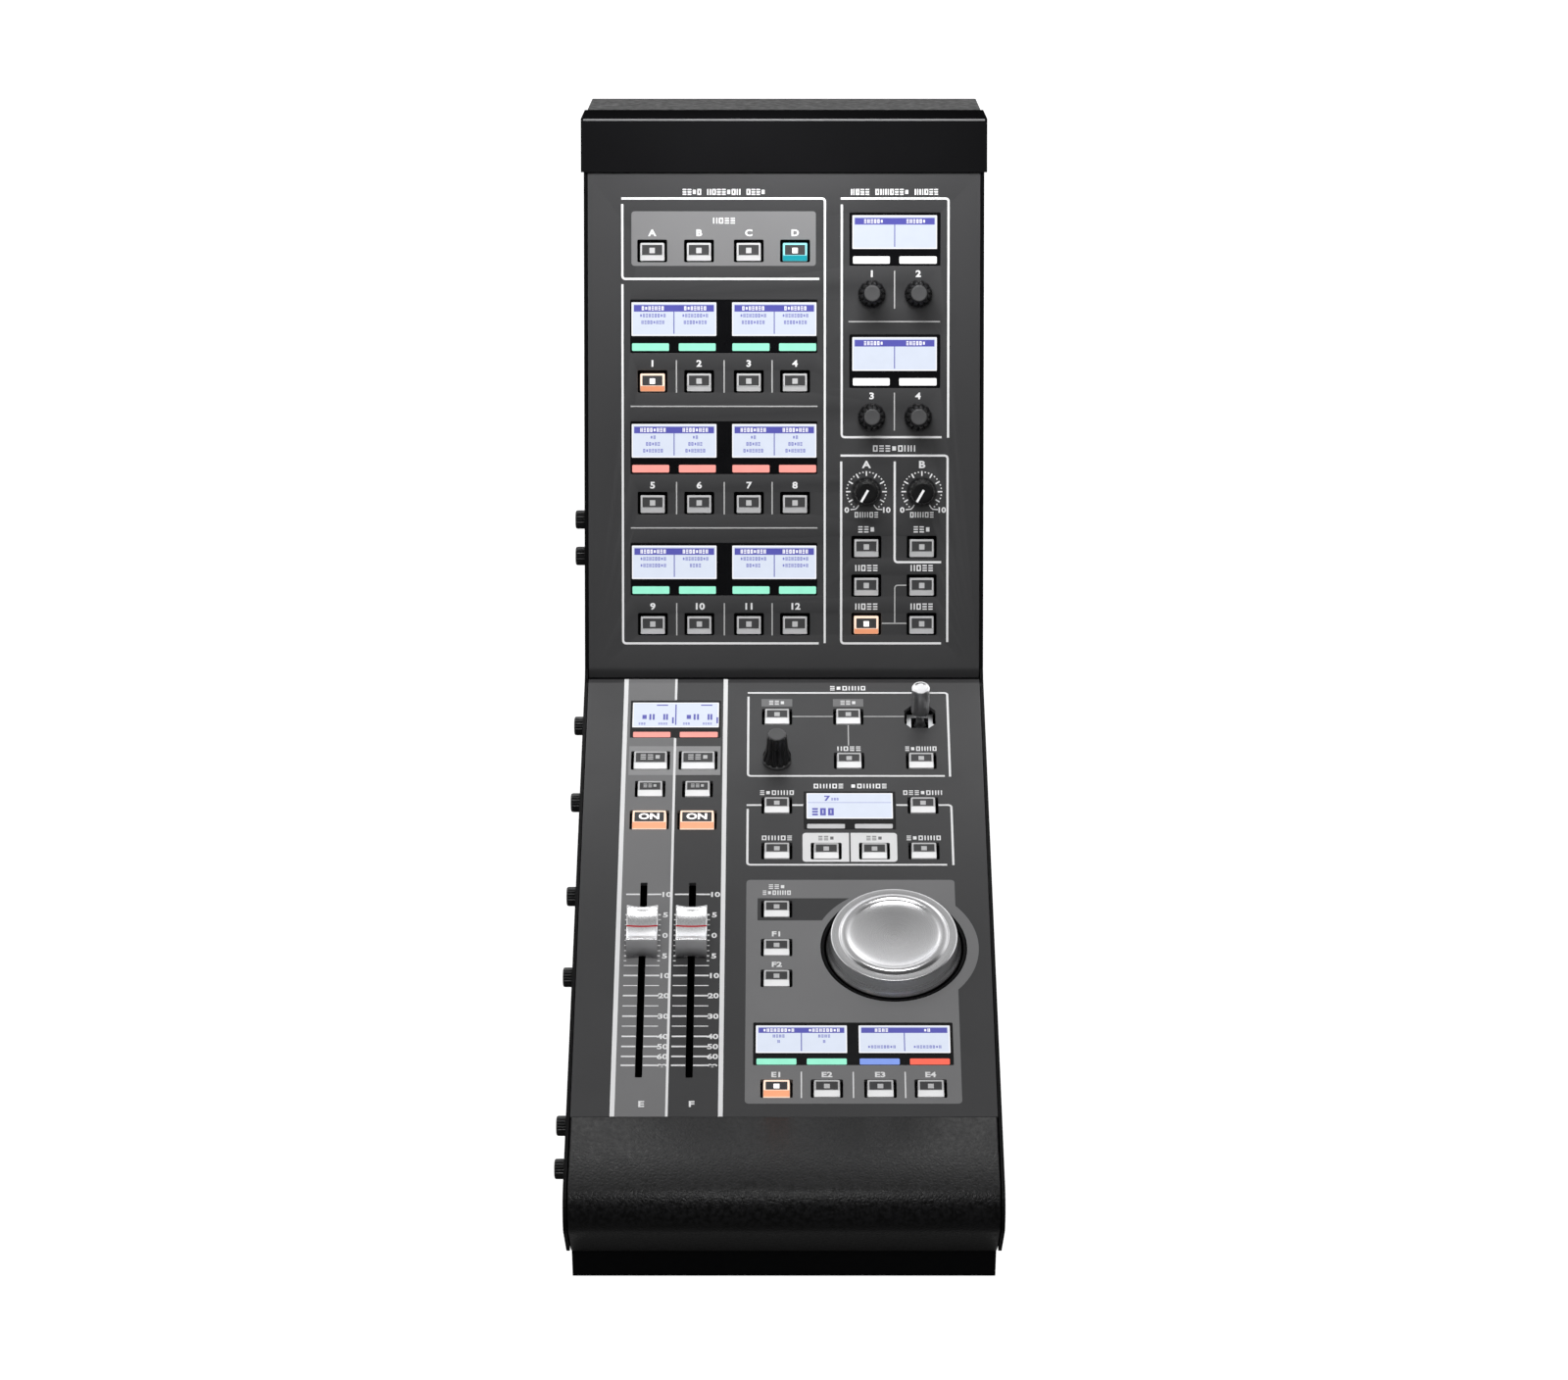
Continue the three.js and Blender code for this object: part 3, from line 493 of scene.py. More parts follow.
def corner_path(*corners, radius=1.6):
    """A path through the corners, each inner one rounded."""
    path = [corners[0]]
    for before, here, after in zip(corners, corners[1:], corners[2:]):
        a = (Vector(before) - Vector(here)).normalized()
        b = (Vector(after) - Vector(here)).normalized()
        for k in range(7):
            t = k / 6
            start = Vector(here) + a * radius
            end = Vector(here) + b * radius
            mid = Vector(here)
            path.append(tuple(start * (1 - t) ** 2 + mid * 2 * t * (1 - t) + end * t * t))
    path.append(corners[-1])
    return path


# ---- Camera, light and floor ----

scene = bpy.context.scene
scene.view_settings.view_transform = "Standard"

camera = bpy.data.objects.new("camera", bpy.data.cameras.new("camera"))
camera.data.sensor_width = 36
camera.data.lens = 109.44
camera.location = (CENTRE_X * MM, -1.76, 1.406)
camera.rotation_euler = (math.radians(54), 0, 0)
scene.collection.objects.link(camera)
scene.camera = camera


def studio_world():
    """White behind the desk, dim for soft light, and in mirrors a bright sweep at the back."""
    world = bpy.data.worlds.new("studio")
    world.use_nodes = True
    tree = world.node_tree

    def combine(operation, *values):
        node = add_node(tree, "Math")
        node.operation = operation
        for socket, value in zip(node.inputs, values):
            if isinstance(value, float):
                socket.default_value = value
            else:
                tree.links.new(value, socket)
        return node.outputs["Value"]

    ways = add_node(tree, "TexCoord").outputs["Generated"]
    axes = add_node(tree, "SeparateXYZ", Vector=ways).outputs
    path = add_node(tree, "LightPath").outputs
    upward = span(tree, axes["Z"], SWEEP_STRENGTH, 0.08, 0.3, 1.0)
    above_ground = span(tree, axes["Z"], 0.0, 1.0, -0.9, -0.5)
    backward = span(tree, axes["Y"], 0.0, 1.0, -0.1, 0.3)
    sweep = combine("MULTIPLY", combine("MULTIPLY", upward, above_ground), backward)
    mirrored = combine("ADD", sweep, MIRROR_STRENGTH)
    soft = span(tree, axes["Z"], 0.01, SKY_STRENGTH, -0.05, 0.3)
    glossy = path["Is Glossy Ray"]
    strength = combine(
        "ADD",
        combine("MULTIPLY", mirrored, glossy),
        combine("MULTIPLY", soft, combine("SUBTRACT", 1.0, glossy)),
    )
    shown = combine("MAXIMUM", strength, path["Is Camera Ray"])
    background = tree.nodes["Background"]
    background.inputs["Color"].default_value = (1, 1, 1, 1)
    tree.links.new(shown, background.inputs["Strength"])
    return world


SKY_STRENGTH = 0.16
SWEEP_STRENGTH = 1.3
MIRROR_STRENGTH = 0.1
scene.world = studio_world()


def softbox(name, place, width, height, power, target=(0, 0, 0.15), mirrored=True,
            soft=True):
    """A rectangular area light that faces the target; it shows in mirrors, lights, or both."""
    light = bpy.data.lights.new(name, "AREA")
    light.shape = "RECTANGLE"
    light.size = width
    light.size_y = height
    light.energy = power
    holder = bpy.data.objects.new(name, light)
    holder.location = place
    aim = Vector(target) - Vector(place)
    holder.rotation_euler = aim.to_track_quat("-Z", "Y").to_euler()
    holder.visible_camera = False
    holder.visible_glossy = mirrored
    holder.visible_diffuse = soft
    scene.collection.objects.link(holder)


softbox("back_light", (0, 2.3, 1.35), 3.2, 0.9, 9, mirrored=False)
softbox("top_light", (0, -0.5, 2.3), 1.6, 0.5, 19)
softbox("left_light", (-2.2, -0.3, 1.3), 0.8, 1.6, 4)
softbox("front_light", (0, -2.4, 2.2), 2.0, 1.2, 38, mirrored=False)
softbox("panel_light", (0, 0.08, 0.44), 0.16, 0.03, 0.5, (0, 0.16, 0.3), mirrored=False)
softbox("mirror_card", (0, 0.02, 0.15), 0.3, 0.09, 0.1, (0, -0.13, 0.11), soft=False)

FLOOR_SIZE = 14000
floor_surface = Surface("floor_paper", (0.5, 0.5, 0.5), 0.9, Specular_IOR_Level=0.0)
floor_surface.put(Emission_Color=(1, 1, 1, 1), Emission_Strength=0.9)
floor_builder = Builder()
floor_builder.prism(rounded(0, 0, FLOOR_SIZE, FLOOR_SIZE), -20, 0, floor_surface.material)
floor_data = bpy.data.meshes.new("floor")
floor_builder.mesh.to_mesh(floor_data)
floor_data.materials.append(floor_surface.material)
floor = bpy.data.objects.new("floor", floor_data)
floor.visible_diffuse = False
floor.visible_glossy = False
scene.collection.objects.link(floor)

# ---- Layout of the decks, in millimetres ----

USER_X = [-60.9, -39.3, -16.3, 5.1]
BANK_V = 193.5
USER_ROW_V = [133.3, 77, 20.8]
MONITOR_X = [38.2, 63.9]
KNOB_X = [40.6, 62.1]
KNOB_V = [173.6, 116.8]
LEVEL_V = 82.3
EFFECT_X = [-3.2, 18.3, 41.1, 62.6]
EFFECT_V = 16.1
FADER_X = [-62.2, -40.6]
FADER_V = (22.4, 137.4)
FADER_REST_V = 102.9
FADER_SLOT = 3.1
JOG = (48.15, 98.2)
JOG_WELL = 32.2
JOYSTICK = (62.6, 242.9)
PANNER_KNOB = (-3.2, 214.2)
KEY_DROP = 0.5

KEY = (11.35, 8.2, 5.8)
WIDE = (15.3, 9.8, 7.2)
HOLE_MARGIN = (2.5, 2.2)
TOP_HEIGHT = 1.6

UPPER_KEYS = {
    "dim_key_a": (MONITOR_X[0], 56.6),
    "dim_key_b": (MONITOR_X[1], 56.6),
    "mono_key": (MONITOR_X[0], 38.7),
    "alternate_key_2": (MONITOR_X[1], 38.7),
    "main_key": (MONITOR_X[0], 20.9),
    "alternate_key_1": (MONITOR_X[1], 20.9),
}
LOWER_KEYS = {
    "cue_key_e": (-60.7, 196.1),
    "cue_key_f": (-39.2, 196.1),
    "relative_key": (-3.2, 243),
    "absolute_key": (29.6, 243),
    "grab_key": (29.7, 214.3),
    "assign_key": (62.6, 214.3),
    "update_key": (-3.25, 185.7),
    "preview_key": (62.8, 185.7),
    "store_key": (-3.2, 157.1),
    "decrease_key": (18.9, 156.9),
    "increase_key": (40.5, 156.9),
    "recall_key": (62.65, 157.1),
    "jog_key": (-3.25, 121.3),
    "function_key_1": (-3.25, 98.1),
    "function_key_2": (-3.25, 79.8),
}
WIDE_KEYS = {
    "select_key_e": (-60.9, 214.4),
    "select_key_f": (-39.2, 214.4),
    "on_key_e": (-60.7, 176.5),
    "on_key_f": (-39.2, 176.5),
}
ROWS = {
    "bank_keys": (UPPER, USER_X, BANK_V),
    "user_keys_row_1": (UPPER, USER_X, USER_ROW_V[0]),
    "user_keys_row_2": (UPPER, USER_X, USER_ROW_V[1]),
    "user_keys_row_3": (UPPER, USER_X, USER_ROW_V[2]),
    "effect_keys": (LOWER, EFFECT_X, EFFECT_V),
}
UPPER_WINDOWS = [
    ((-71.1, 15.4), (146.4, 171)),
    ((-71.1, 15.4), (90.4, 114.8)),
    ((-71.1, 15.4), (34.1, 58.5)),
    ((30.3, 72.3), (186.6, 211.1)),
    ((30.3, 72.3), (130.2, 154.9)),
]
CHANNEL_WINDOW = ((-70.7, -29.1), (229.2, 253.6))
SCENE_WINDOW = ((8.9, 50.4), (170.5, 194.5))
EFFECT_WINDOW = ((-13.3, 72.8), (29.4, 53.9))
LOWER_WINDOWS = (CHANNEL_WINDOW, SCENE_WINDOW, EFFECT_WINDOW)


def hole(x, v, size):
    return rounded(x, v, size[0] + HOLE_MARGIN[0], size[1] + HOLE_MARGIN[1], 0.7)


def chamfered(x, v, half, corner):
    flat = half - corner
    turns = [(half, -flat), (half, flat), (flat, half), (-flat, half)]
    turns += [(-half, flat), (-half, -flat), (-flat, -half), (flat, -half)]
    return [(x + a, v + b) for a, b in turns]


upper_holes = [
    *(hole(x, v, KEY) for x, v in UPPER_KEYS.values()),
    *(hole(x, v, KEY) for v in [BANK_V, *USER_ROW_V] for x in USER_X),
    *(span_box(x, v, 0.6) for x, v in UPPER_WINDOWS),
    *(disc(x, v, 4) for v in KNOB_V for x in KNOB_X),
    *(disc(x, LEVEL_V, 4) for x in MONITOR_X),
]
lower_holes = [
    *(hole(x, v, KEY) for x, v in LOWER_KEYS.values()),
    *(hole(x, v, WIDE) for x, v in WIDE_KEYS.values()),
    *(hole(x, EFFECT_V, KEY) for x in EFFECT_X),
    *(span_box(x, v, 0.6) for x, v in LOWER_WINDOWS),
    *(span_box((x - FADER_SLOT / 2, x + FADER_SLOT / 2), FADER_V, 0.5) for x in FADER_X),
    chamfered(*JOYSTICK, 7.15, 3),
    disc(*JOG, JOG_WELL, 128),
    disc(*PANNER_KNOB, 4),
]

# ---- Panels ----


def filled(outline, holes, low, high, edge=0.0):
    """Mesh of a plate with holes, from z = low to high, with edges rounded by the edge."""
    curve = bpy.data.curves.new("plate", "CURVE")
    curve.dimensions = "2D"
    curve.fill_mode = "BOTH"
    curve.extrude = ((high - low) / 2 - edge) * MM
    curve.bevel_depth = edge * MM
    curve.bevel_resolution = 2
    curve.offset = -edge * MM
    for loop in (outline, *holes):
        spline = curve.splines.new("POLY")
        spline.points.add(len(loop) - 1)
        for point, (x, v) in zip(spline.points, loop):
            point.co = (x * MM, v * MM, 0, 1)
        spline.use_cyclic_u = True
    data = mesh_of(curve)
    data.transform(Matrix.Translation((0, 0, (low + high) / 2 * MM)))
    return data


def within(holes, x, v):
    """The holes whose middle lies in the box x, v."""
    inside = []
    for loop in holes:
        a = sum(p[0] for p in loop) / len(loop)
        b = sum(p[1] for p in loop) / len(loop)
        if x[0] < a < x[1] and v[0] < b < v[1]:
            inside.append(loop)
    return inside


FOLD_RADIUS = 4.0
FOLD = UPPER_TILT - RIDGE_TILT
FOLD_TANGENT = FOLD_RADIUS * math.tan(FOLD / 2)
PANEL_FOOT = FOLD_TANGENT - FOLD_RADIUS * FOLD - (RIDGE_LENGTH - PANEL_GAP - FOLD_TANGENT)


def fold(point):
    """Bends the foot of the upper panel's flat sheet over the ridge."""
    v, z = point.y / MM, point.z / MM
    along = FOLD_TANGENT - v
    if along <= 0:
        return point
    angle = min(along / FOLD_RADIUS, FOLD)
    extra = max(along - FOLD_RADIUS * FOLD, 0)
    radius = FOLD_RADIUS + z
    bent_v = FOLD_TANGENT - radius * math.sin(angle) - extra * math.cos(angle)
    bent_z = radius * math.cos(angle) - FOLD_RADIUS - extra * math.sin(angle)
    return Vector((point.x, bent_v * MM, bent_z * MM))


def deck_panel(name, matrix, v, holes, foot=False):
    """A deck's sheet with its holes; a foot is cut into strips and folded over the ridge."""
    builder = Builder()
    outline = span_box((-PANEL_HALF, PANEL_HALF), v)
    builder.take(filled(outline, holes, -SHEET, 0, 0.2), PANEL)
    if foot:
        for step in range(9):
            cut = (FOLD_TANGENT - FOLD_RADIUS * FOLD * step / 8) * MM
            parts = builder.mesh.verts[:] + builder.mesh.edges[:] + builder.mesh.faces[:]
            bmesh.ops.bisect_plane(
                builder.mesh, geom=parts, plane_co=(0, cut, 0), plane_no=(0, 1, 0), dist=1e-7
            )
        for vertex in builder.mesh.verts:
            vertex.co = fold(vertex.co)
        for face in builder.mesh.faces:
            face.smooth = all(vertex.co.z < 1e-6 for vertex in face.verts)
    builder.done(name, matrix, slot="panel_paint", replaces=[name.removesuffix("_sheet")])


lower_span = (PANEL_GAP, LOWER_LENGTH - PANEL_GAP)
deck_panel("lower_panel_sheet", LOWER, lower_span, lower_holes)
deck_panel("upper_panel_sheet", UPPER, (PANEL_FOOT, UPPER_LENGTH), upper_holes, foot=True)

# ---- Print ----

LAYER = 0.03
LINE = 1.0
LINE_Z = 0.01
THIN = 0.55
LABEL_RISE = 8.4  # from a key's middle to its number
MARKS = ("ring", "pair", "block", "stack", "pair", "ring", "stack")


def mark(builder, kind, x, v, size, low, high, material):
    """One plain mark: a ring, a pair of posts, a stack of bars or a solid block."""
    wide, tall, stem = size
    side, end = (wide - stem) / 2, (tall - stem) / 2
    posts = [(-side, 0, stem, tall), (side, 0, stem, tall)]
    pieces = {
        "ring": [*posts, (0, -end, wide - 2 * stem, stem), (0, end, wide - 2 * stem, stem)],
        "pair": posts,
        "stack": [(0, -end, wide, stem), (0, 0, wide, stem), (0, end, wide, stem)],
        "block": [(0, 0, wide * 0.8, tall * 0.7)],
    }[kind]
    for a, b, w, h in pieces:
        builder.prism(rounded(x + a, v + b, w, h), low, high, material)


def caption(builder, x, v, count, height, pitch, material=LIGHT_PRINT, spaces=(), z=0.04):
    """A row of plain marks that stands in for a word; it doesn't read as letters."""
    step = height * pitch
    for k in range(count):
        if k not in spaces:
            middle = x + step * (k - (count - 1) / 2)
            kind = MARKS[(k * 3 + count) % len(MARKS)]
            size = (step * 0.74, height, height * 0.2)
            mark(builder, kind, middle, v, size, z, z + 0.03, material)


def grey_plate(builder, outline, holes, box, material=GREY_PRINT, height=LAYER):
    """A thin printed area, with the holes that lie in the box x, v."""
    builder.take(filled(outline, within(holes, *box), 0, height), material)


def heavy_lines(builder, *paths):
    for corners in paths:
        builder.stroke(corner_path(*corners), LINE, LIGHT_PRINT, LINE_Z)


def thin_lines(builder, *paths):
    for corners in paths:
        builder.stroke(corner_path(*corners), THIN, DIM_PRINT)


ink = Builder()
bank_box = ((-70.5, 14.7), (186.6, 211.7))
grey_plate(ink, span_box(*bank_box, 1.4), upper_holes, bank_box)
heavy_lines(
    ink,
    ((-75.1, 217.6), (18.9, 217.6), (18.9, 12)),
    ((-74.7, 215), (-74.7, 180.6), (16.3, 180.6)),
    ((-74.7, 178.1), (-74.7, 11.9), (16.1, 11.9)),
    ((26.2, 217.6), (76, 217.6), (76, 107.3)),
    ((26.7, 214.8), (26.7, 107.5), (73, 107.5)),
    ((26.2, 99), (75.8, 99), (75.8, 12.5)),
    ((26.5, 96.3), (26.5, 11.9), (72.9, 11.9)),
    ((51.3, 96.3), (51.3, 49.6), (72.9, 49.6)),
)
thin_lines(
    ink,
    *(((-71, v), (15.5, v)) for v in (121.8, 65.5)),
    *(((x, v - 5.2), (x, v + 9.8)) for v in USER_ROW_V for x in (-49.8, -27.7, -5.5)),
    ((29.8, 160.9), (72.2, 160.9)),
    *(((51.1, v), (51.1, v + 17.5)) for v in (166.9, 110.6)),
    ((45.4, 21.2), (56.8, 21.2)),
    ((51.4, 21.2), (51.4, 38.9), (56.8, 38.9)),
)
for row in (
    (-27.8, 220.6, 17, 2.7, 0.84, WHITE_PRINT, (4, 12)),
    (51, 220.6, 18, 2.7, 0.84, WHITE_PRINT, (4, 12)),
    (-27.7, 207.4, 4, 2.7, 1.0),
    (51, 102.3, 7, 2.9, 1.0),
):
    caption(ink, *row)
for x, letter in zip(USER_X, "ABCD"):
    ink.text(letter, x, BANK_V + LABEL_RISE, 3.0, LAYER)
user_spots = [(x, v + LABEL_RISE) for v in USER_ROW_V for x in USER_X]
knob_spots = [(x, v) for v in (183.1, 126.7) for x in KNOB_X]
for spots in (user_spots, knob_spots):
    for number, (x, v) in enumerate(spots, 1):
        ink.text(str(number), x, v, 3.0)


def level_scale(builder, x, letter):
    """Dial of a level knob from 0 to 10, with its hooks, letter and captions."""
    builder.text(letter, x, 95, 3.3)
    for step in range(1, 30):
        angle = math.radians(90 + 150 - 10 * step)
        inner, outer, width = (8.8, 9.4, 0.6) if step % 3 else (7.3, 9.5, 0.62)
        way = Vector((math.cos(angle), math.sin(angle)))
        middle = Vector((x, LEVEL_V))
        builder.stroke([middle + way * inner, middle + way * outer], width, LIGHT_PRINT)
    for side, number in ((-1, "0"), (1, "10")):
        turns = ((3.5, 6.1), (4.1, 7.2), (5.0, 8.1), (7.4, 8.3))
        builder.stroke([(x + side * a, LEVEL_V - b) for a, b in turns], 0.5, LIGHT_PRINT)
        builder.text(number, x + side * 9.1, 73.9, 2.5)
    caption(builder, x, 71.6, 5, 2.6, 0.88)
    for v, count in ((64.8, 3), (46.9, 4), (29, 4)):
        caption(builder, x, v, count, 2.9, 0.95)


for x, letter in zip(MONITOR_X, "AB"):
    level_scale(ink, x, letter)
ink.done("upper_print", UPPER, slot="print")

CHANNEL_X, CHANNEL_V = CHANNEL_WINDOW
STRIP_TOP = LOWER_LENGTH - PANEL_GAP
STRIP_X = (-73, -49.9)
STRIP_PLATES = (
    (STRIP_X, (PANEL_GAP, CHANNEL_V[0])),
    ((STRIP_X[0], CHANNEL_X[0]), CHANNEL_V),
    (STRIP_X, (CHANNEL_V[1], STRIP_TOP)),
)
jog_box = ((-16.7, 75.8), (7.6, 139.1))
ink = Builder()
for box in STRIP_PLATES:
    grey_plate(ink, span_box(*box), lower_holes, box)
for x in ((-70.8, -50.5), (-49.3, -29)):
    box = (x, (205, 223.6))
    grey_plate(ink, span_box(*box), lower_holes, box, MID_PRINT, 2 * LAYER)
for x, width, gap in ((-73, 2.0, False), (-49.9, 1.1, True), (-27, 2.0, False)):
    for v in ((0.4, 228.9), (254, 267.8)) if gap else ((0.4, 267.8),):
        ink.stroke([(x, v[0]), (x, v[1])], width, LIGHT_PRINT, LINE_Z)

FADER_MARKS = {
    "10": 130.2, "5": 117.8, "0": 105.4, "-5": 93.1, "-10": 81.4, "-20": 69.6,
    "-30": 57.6, "-40": 45.9, "-50": 40.1, "-60": 34.4, "∞": 29.3,
}
HALF_MARKS = (87.3, 75.5, 63.6, 51.8)
SMALL_MARKS = (114.8, 111.7, 108.5, 102.4, 99.3, 96.2, 90.2)
SCALE_LINES = (
    (FADER_MARKS.values(), 1.7, 7.8, 0.85, LINE_Z),
    (HALF_MARKS, 1.7, 7.8, 0.5, 0.0),
    (SMALL_MARKS, 6.8, 7.9, 0.5, 0.0),
)
for x in FADER_X:
    for marks, near, far, width, z in SCALE_LINES:
        for v in marks:
            for side in (-1, 1):
                ends = [(x + side * near, v), (x + side * far, v)]
                ink.stroke(ends, width, LIGHT_PRINT, z)
    for label, v in FADER_MARKS.items():
        ink.text(label.lstrip("-"), x + 9.9, v, 2.9, LAYER)
for x, letter in zip((-60.8, -39.4), "EF"):
    ink.text(letter, x, 7.5, 3.3, LAYER)

heavy_lines(
    ink,
    ((-16.8, 258.7), (75.5, 258.7), (75.5, 204)),
    ((-16.4, 256.2), (-16.4, 204.4), (73.1, 204.4)),
    *(((left, 185.8), (right, 185.8)) for left, right in ((-16.9, -10.2), (3.7, 8.6), (50.7, 55.8))),
    ((69.8, 185.8), (75.6, 185.8), (75.6, 148.2)),
    ((-16.4, 183.4), (-16.4, 148.4), (72.8, 148.4)),
)
thin_lines(
    ink,
    ((3.8, 243.1), (22.6, 243.1)),
    ((36.6, 243.1), (55.4, 243.1)),
    ((29.5, 237.4), (29.5, 224.1)),
)
for x in ((-10.4, 3.8), (22.6, 36.6)):
    ink.prism(span_box(x, (249.7, 254.6)), 0, LAYER, GREY_PRINT)
    caption(ink, sum(x) / 2, 252.2, 3, 2.7, 0.95)
step_box = ((8.3, 50.7), (150.3, 168.3))
grey_plate(ink, span_box(*step_box, 1.6), lower_holes, step_box, LIGHT_PRINT)
ink.stroke([(29.5, 150.3), (29.5, 168.3)], 0.7, PANEL_DARK, LINE_Z)
for row in (
    (29.5, 261.8, 6, 2.9, 0.98, WHITE_PRINT),
    (29.7, 222, 4, 2.9, 0.98),
    (62.6, 222, 6, 2.9, 0.86),
    (30, 197.9, 12, 2.9, 0.97, WHITE_PRINT, (5,)),
    (-3.2, 193.7, 6, 2.9, 0.92),
    (62.8, 193.7, 7, 2.9, 0.9),
    (-3.2, 165.1, 5, 2.9, 0.98),
    (62.7, 165.1, 6, 2.9, 0.92),
    (18.9, 165, 3, 2.7, 0.95, GREY_PRINT),
    (40.5, 165, 3, 2.7, 0.95, GREY_PRINT),
    (-3.2, 134.9, 3, 2.7, 0.95),
    (-3.2, 131.2, 6, 2.7, 0.8),
):
    caption(ink, *row)


JOG_BULGE = 37.3


def jog_outline():
    """Rounded plate with a round bulge about the jog wheel."""
    reach = math.degrees(math.acos((jog_box[0][1] - JOG[0]) / JOG_BULGE))
    path = span_box(*jog_box, 1.8)
    split = len(path) // 4
    return path[:split] + arc(*JOG, JOG_BULGE, -reach, reach, 24) + path[split:]


grey_plate(ink, jog_outline(), lower_holes, jog_box)
band = [(-11.7, 127.8), (-11.7, 114.4), *arc(*JOG, JOG_BULGE - 2, 180 - 27.3, 180 - 57, 10)]
grey_plate(ink, band, lower_holes, ((-11, 4), (114, 128)), PANEL_DARK, 2 * LAYER)
for label, v in (("F1", 106.3), ("F2", 88.1)):
    ink.text(label, -3.2, v, 2.9, LAYER)
for k, x in enumerate(EFFECT_X):
    ink.text(f"E{k + 1}", x, 24.1, 2.9, LAYER)
for x in (7.4, 29.6, 51.8):
    ink.stroke([(x, 10.8), (x, 25.6)], THIN, LIGHT_PRINT, LINE_Z)
ink.done("lower_print", LOWER, slot="print")

# ---- Displays ----

SCREEN_HIGH = 15.5
SCREEN_DROP = 1.2  # from a window's top edge to its screen
INK_Z = 0.05


def ink_marks(builder, x, v, count, height, material, z=INK_Z, pitch=0.8):
    """Small plain marks of a display's text."""
    step = height * pitch
    for k in range(count):
        middle = x + (k - (count - 1) / 2) * step
        size = (step * 0.72, height, height * 0.24)
        kind = MARKS[(k * 2 + count) % len(MARKS)]
        mark(builder, kind, middle, v, size, z - 0.04, z, material)


def ink_box(builder, x, v, material=INK):
    builder.prism(span_box(x, v), 0, 0.03, material)


def screen(builder, x, top, height=SCREEN_HIGH, words=(), header=True):
    """Lit screen: bright edge, header bands either side of a divider, rows of marks."""
    low = top - height
    builder.prism(span_box(x, (low, top), 0.3), -0.12, 0.0, SCREEN_EDGE)
    builder.prism(span_box((x[0] + 0.5, x[1] - 0.5), (low + 0.5, top - 0.5)), -0.1, 0.015, SCREEN)
    middle = (x[0] + x[1]) / 2
    if header:
        ink_box(builder, (x[0] + 1.1, x[1] - 1.1), (top - 4.3, top - 1.2))
        ink_box(builder, (middle - 0.22, middle + 0.22), (low + 1, top - 4.3))
    quarter = (x[1] - x[0]) / 4
    for side, lines in zip((-1, 1), words):
        centre = middle + side * quarter
        ink_marks(builder, centre, top - 2.75, lines[0], 1.9, SCREEN_EDGE, 0.07)
        for row, count in enumerate(lines[1:]):
            ink_marks(builder, centre, top - 6.1 - row * 3.1, count, 1.7, INK_LIGHT, 0.06)


def bars(builder, xs, v, materials):
    """Narrow lit strips below a screen."""
    for (x0, x1), material in zip(xs, materials):
        builder.prism(span_box((x0, x1), v, 0.5), -0.12, 0.03, material)


def display_builder(windows):
    """A builder that starts with the black glass of the windows."""
    builder = Builder()
    for x, v in windows:
        builder.prism(inset(span_box(x, v, 0.5), 0.06), -0.19, -0.1, WINDOW)
    return builder


glass = display_builder(UPPER_WINDOWS)
ROW_WORDS = [
    ((7, 9, 8), (7, 9, 8), (7, 9, 8), (7, 9, 8)),
    ((8, 2, 5, 7), (8, 2, 5, 7), (8, 2, 5, 7), (8, 2, 5, 7)),
    ((8, 9, 9), (8, 9, 4), (8, 9, 5), (8, 9, 9)),
]
USER_BARS = ((-70.3, -53.2), (-48.7, -31.6), (-23.9, -6.7), (-2.3, 14.9))
for (_, v), words, tint in zip(UPPER_WINDOWS, ROW_WORDS, (MINT, SALMON, MINT)):
    screen(glass, (-70.5, -31.3), v[1] - SCREEN_DROP, words=words[:2])
    screen(glass, (-24, 15), v[1] - SCREEN_DROP, words=words[2:])
    bars(glass, USER_BARS, (v[1] - 23.6, v[1] - 20.1), [tint] * 4)
for _, v in UPPER_WINDOWS[3:]:
    screen(glass, (31.6, 70.7), v[1] - SCREEN_DROP, words=((6,), (6,)))
    bars(glass, ((31.9, 48.9), (53.3, 70.6)), (v[1] - 23.5, v[1] - 20.1), [BAR_WHITE] * 2)
glass.done("upper_displays", UPPER, slot="display")

glass = display_builder(LOWER_WINDOWS)
screen(glass, (-69.7, -30), 252.3, 16.2, header=False)
ink_box(glass, (-50.1, -49.5), (237.6, 251))
for x in (-69.7, -49.3):
    ink_box(glass, (x + 11, x + 16.2), (250.2, 250.9))
    ink_marks(glass, x + 7.2, 242.8, 2, 3.8, INK, pitch=0.9)
    ink_marks(glass, x + 15.2, 242.8, 1, 3.8, INK)
    ink_marks(glass, x + 4.4, 238.4, 3, 1.4, INK_LIGHT)
    ink_marks(glass, x + 14, 238.4, 4, 1.4, INK_LIGHT)
    ink_box(glass, (x + 18.2, x + 19), (238.6, 242.6))
bars(glass, ((-69.2, -52.1), (-47.8, -30.4)), (229.6, 233), [SALMON] * 2)
screen(glass, (10.2, 49.1), 193.4, 16.0, header=False)
ink_box(glass, (10.8, 48.5), (187.3, 187.55), INK_LIGHT)
glass.text("7", 19.4, 190.2, 3.1, 0.02, INK)
ink_marks(glass, 23, 189.6, 3, 1.5, INK_LIGHT)
ink_marks(glass, 17.6, 181.6, 3, 4.6, INK, pitch=0.78)
bars(glass, ((10.4, 27.4), (31.9, 48.9)), (171.1, 173.9), [BAR_GREY] * 2)
screen(glass, (-12.1, 27.1), 52.2, 15.7, ((9, 4, 1), (9, 4, 1)))
screen(glass, (32.2, 71.5), 52.2, 15.7, ((4, 0, 0, 9), (2, 0, 0, 9)))
effect_bars = ((-11.8, 5.3), (9.8, 26.9), (32.5, 49.6), (54, 71.1))
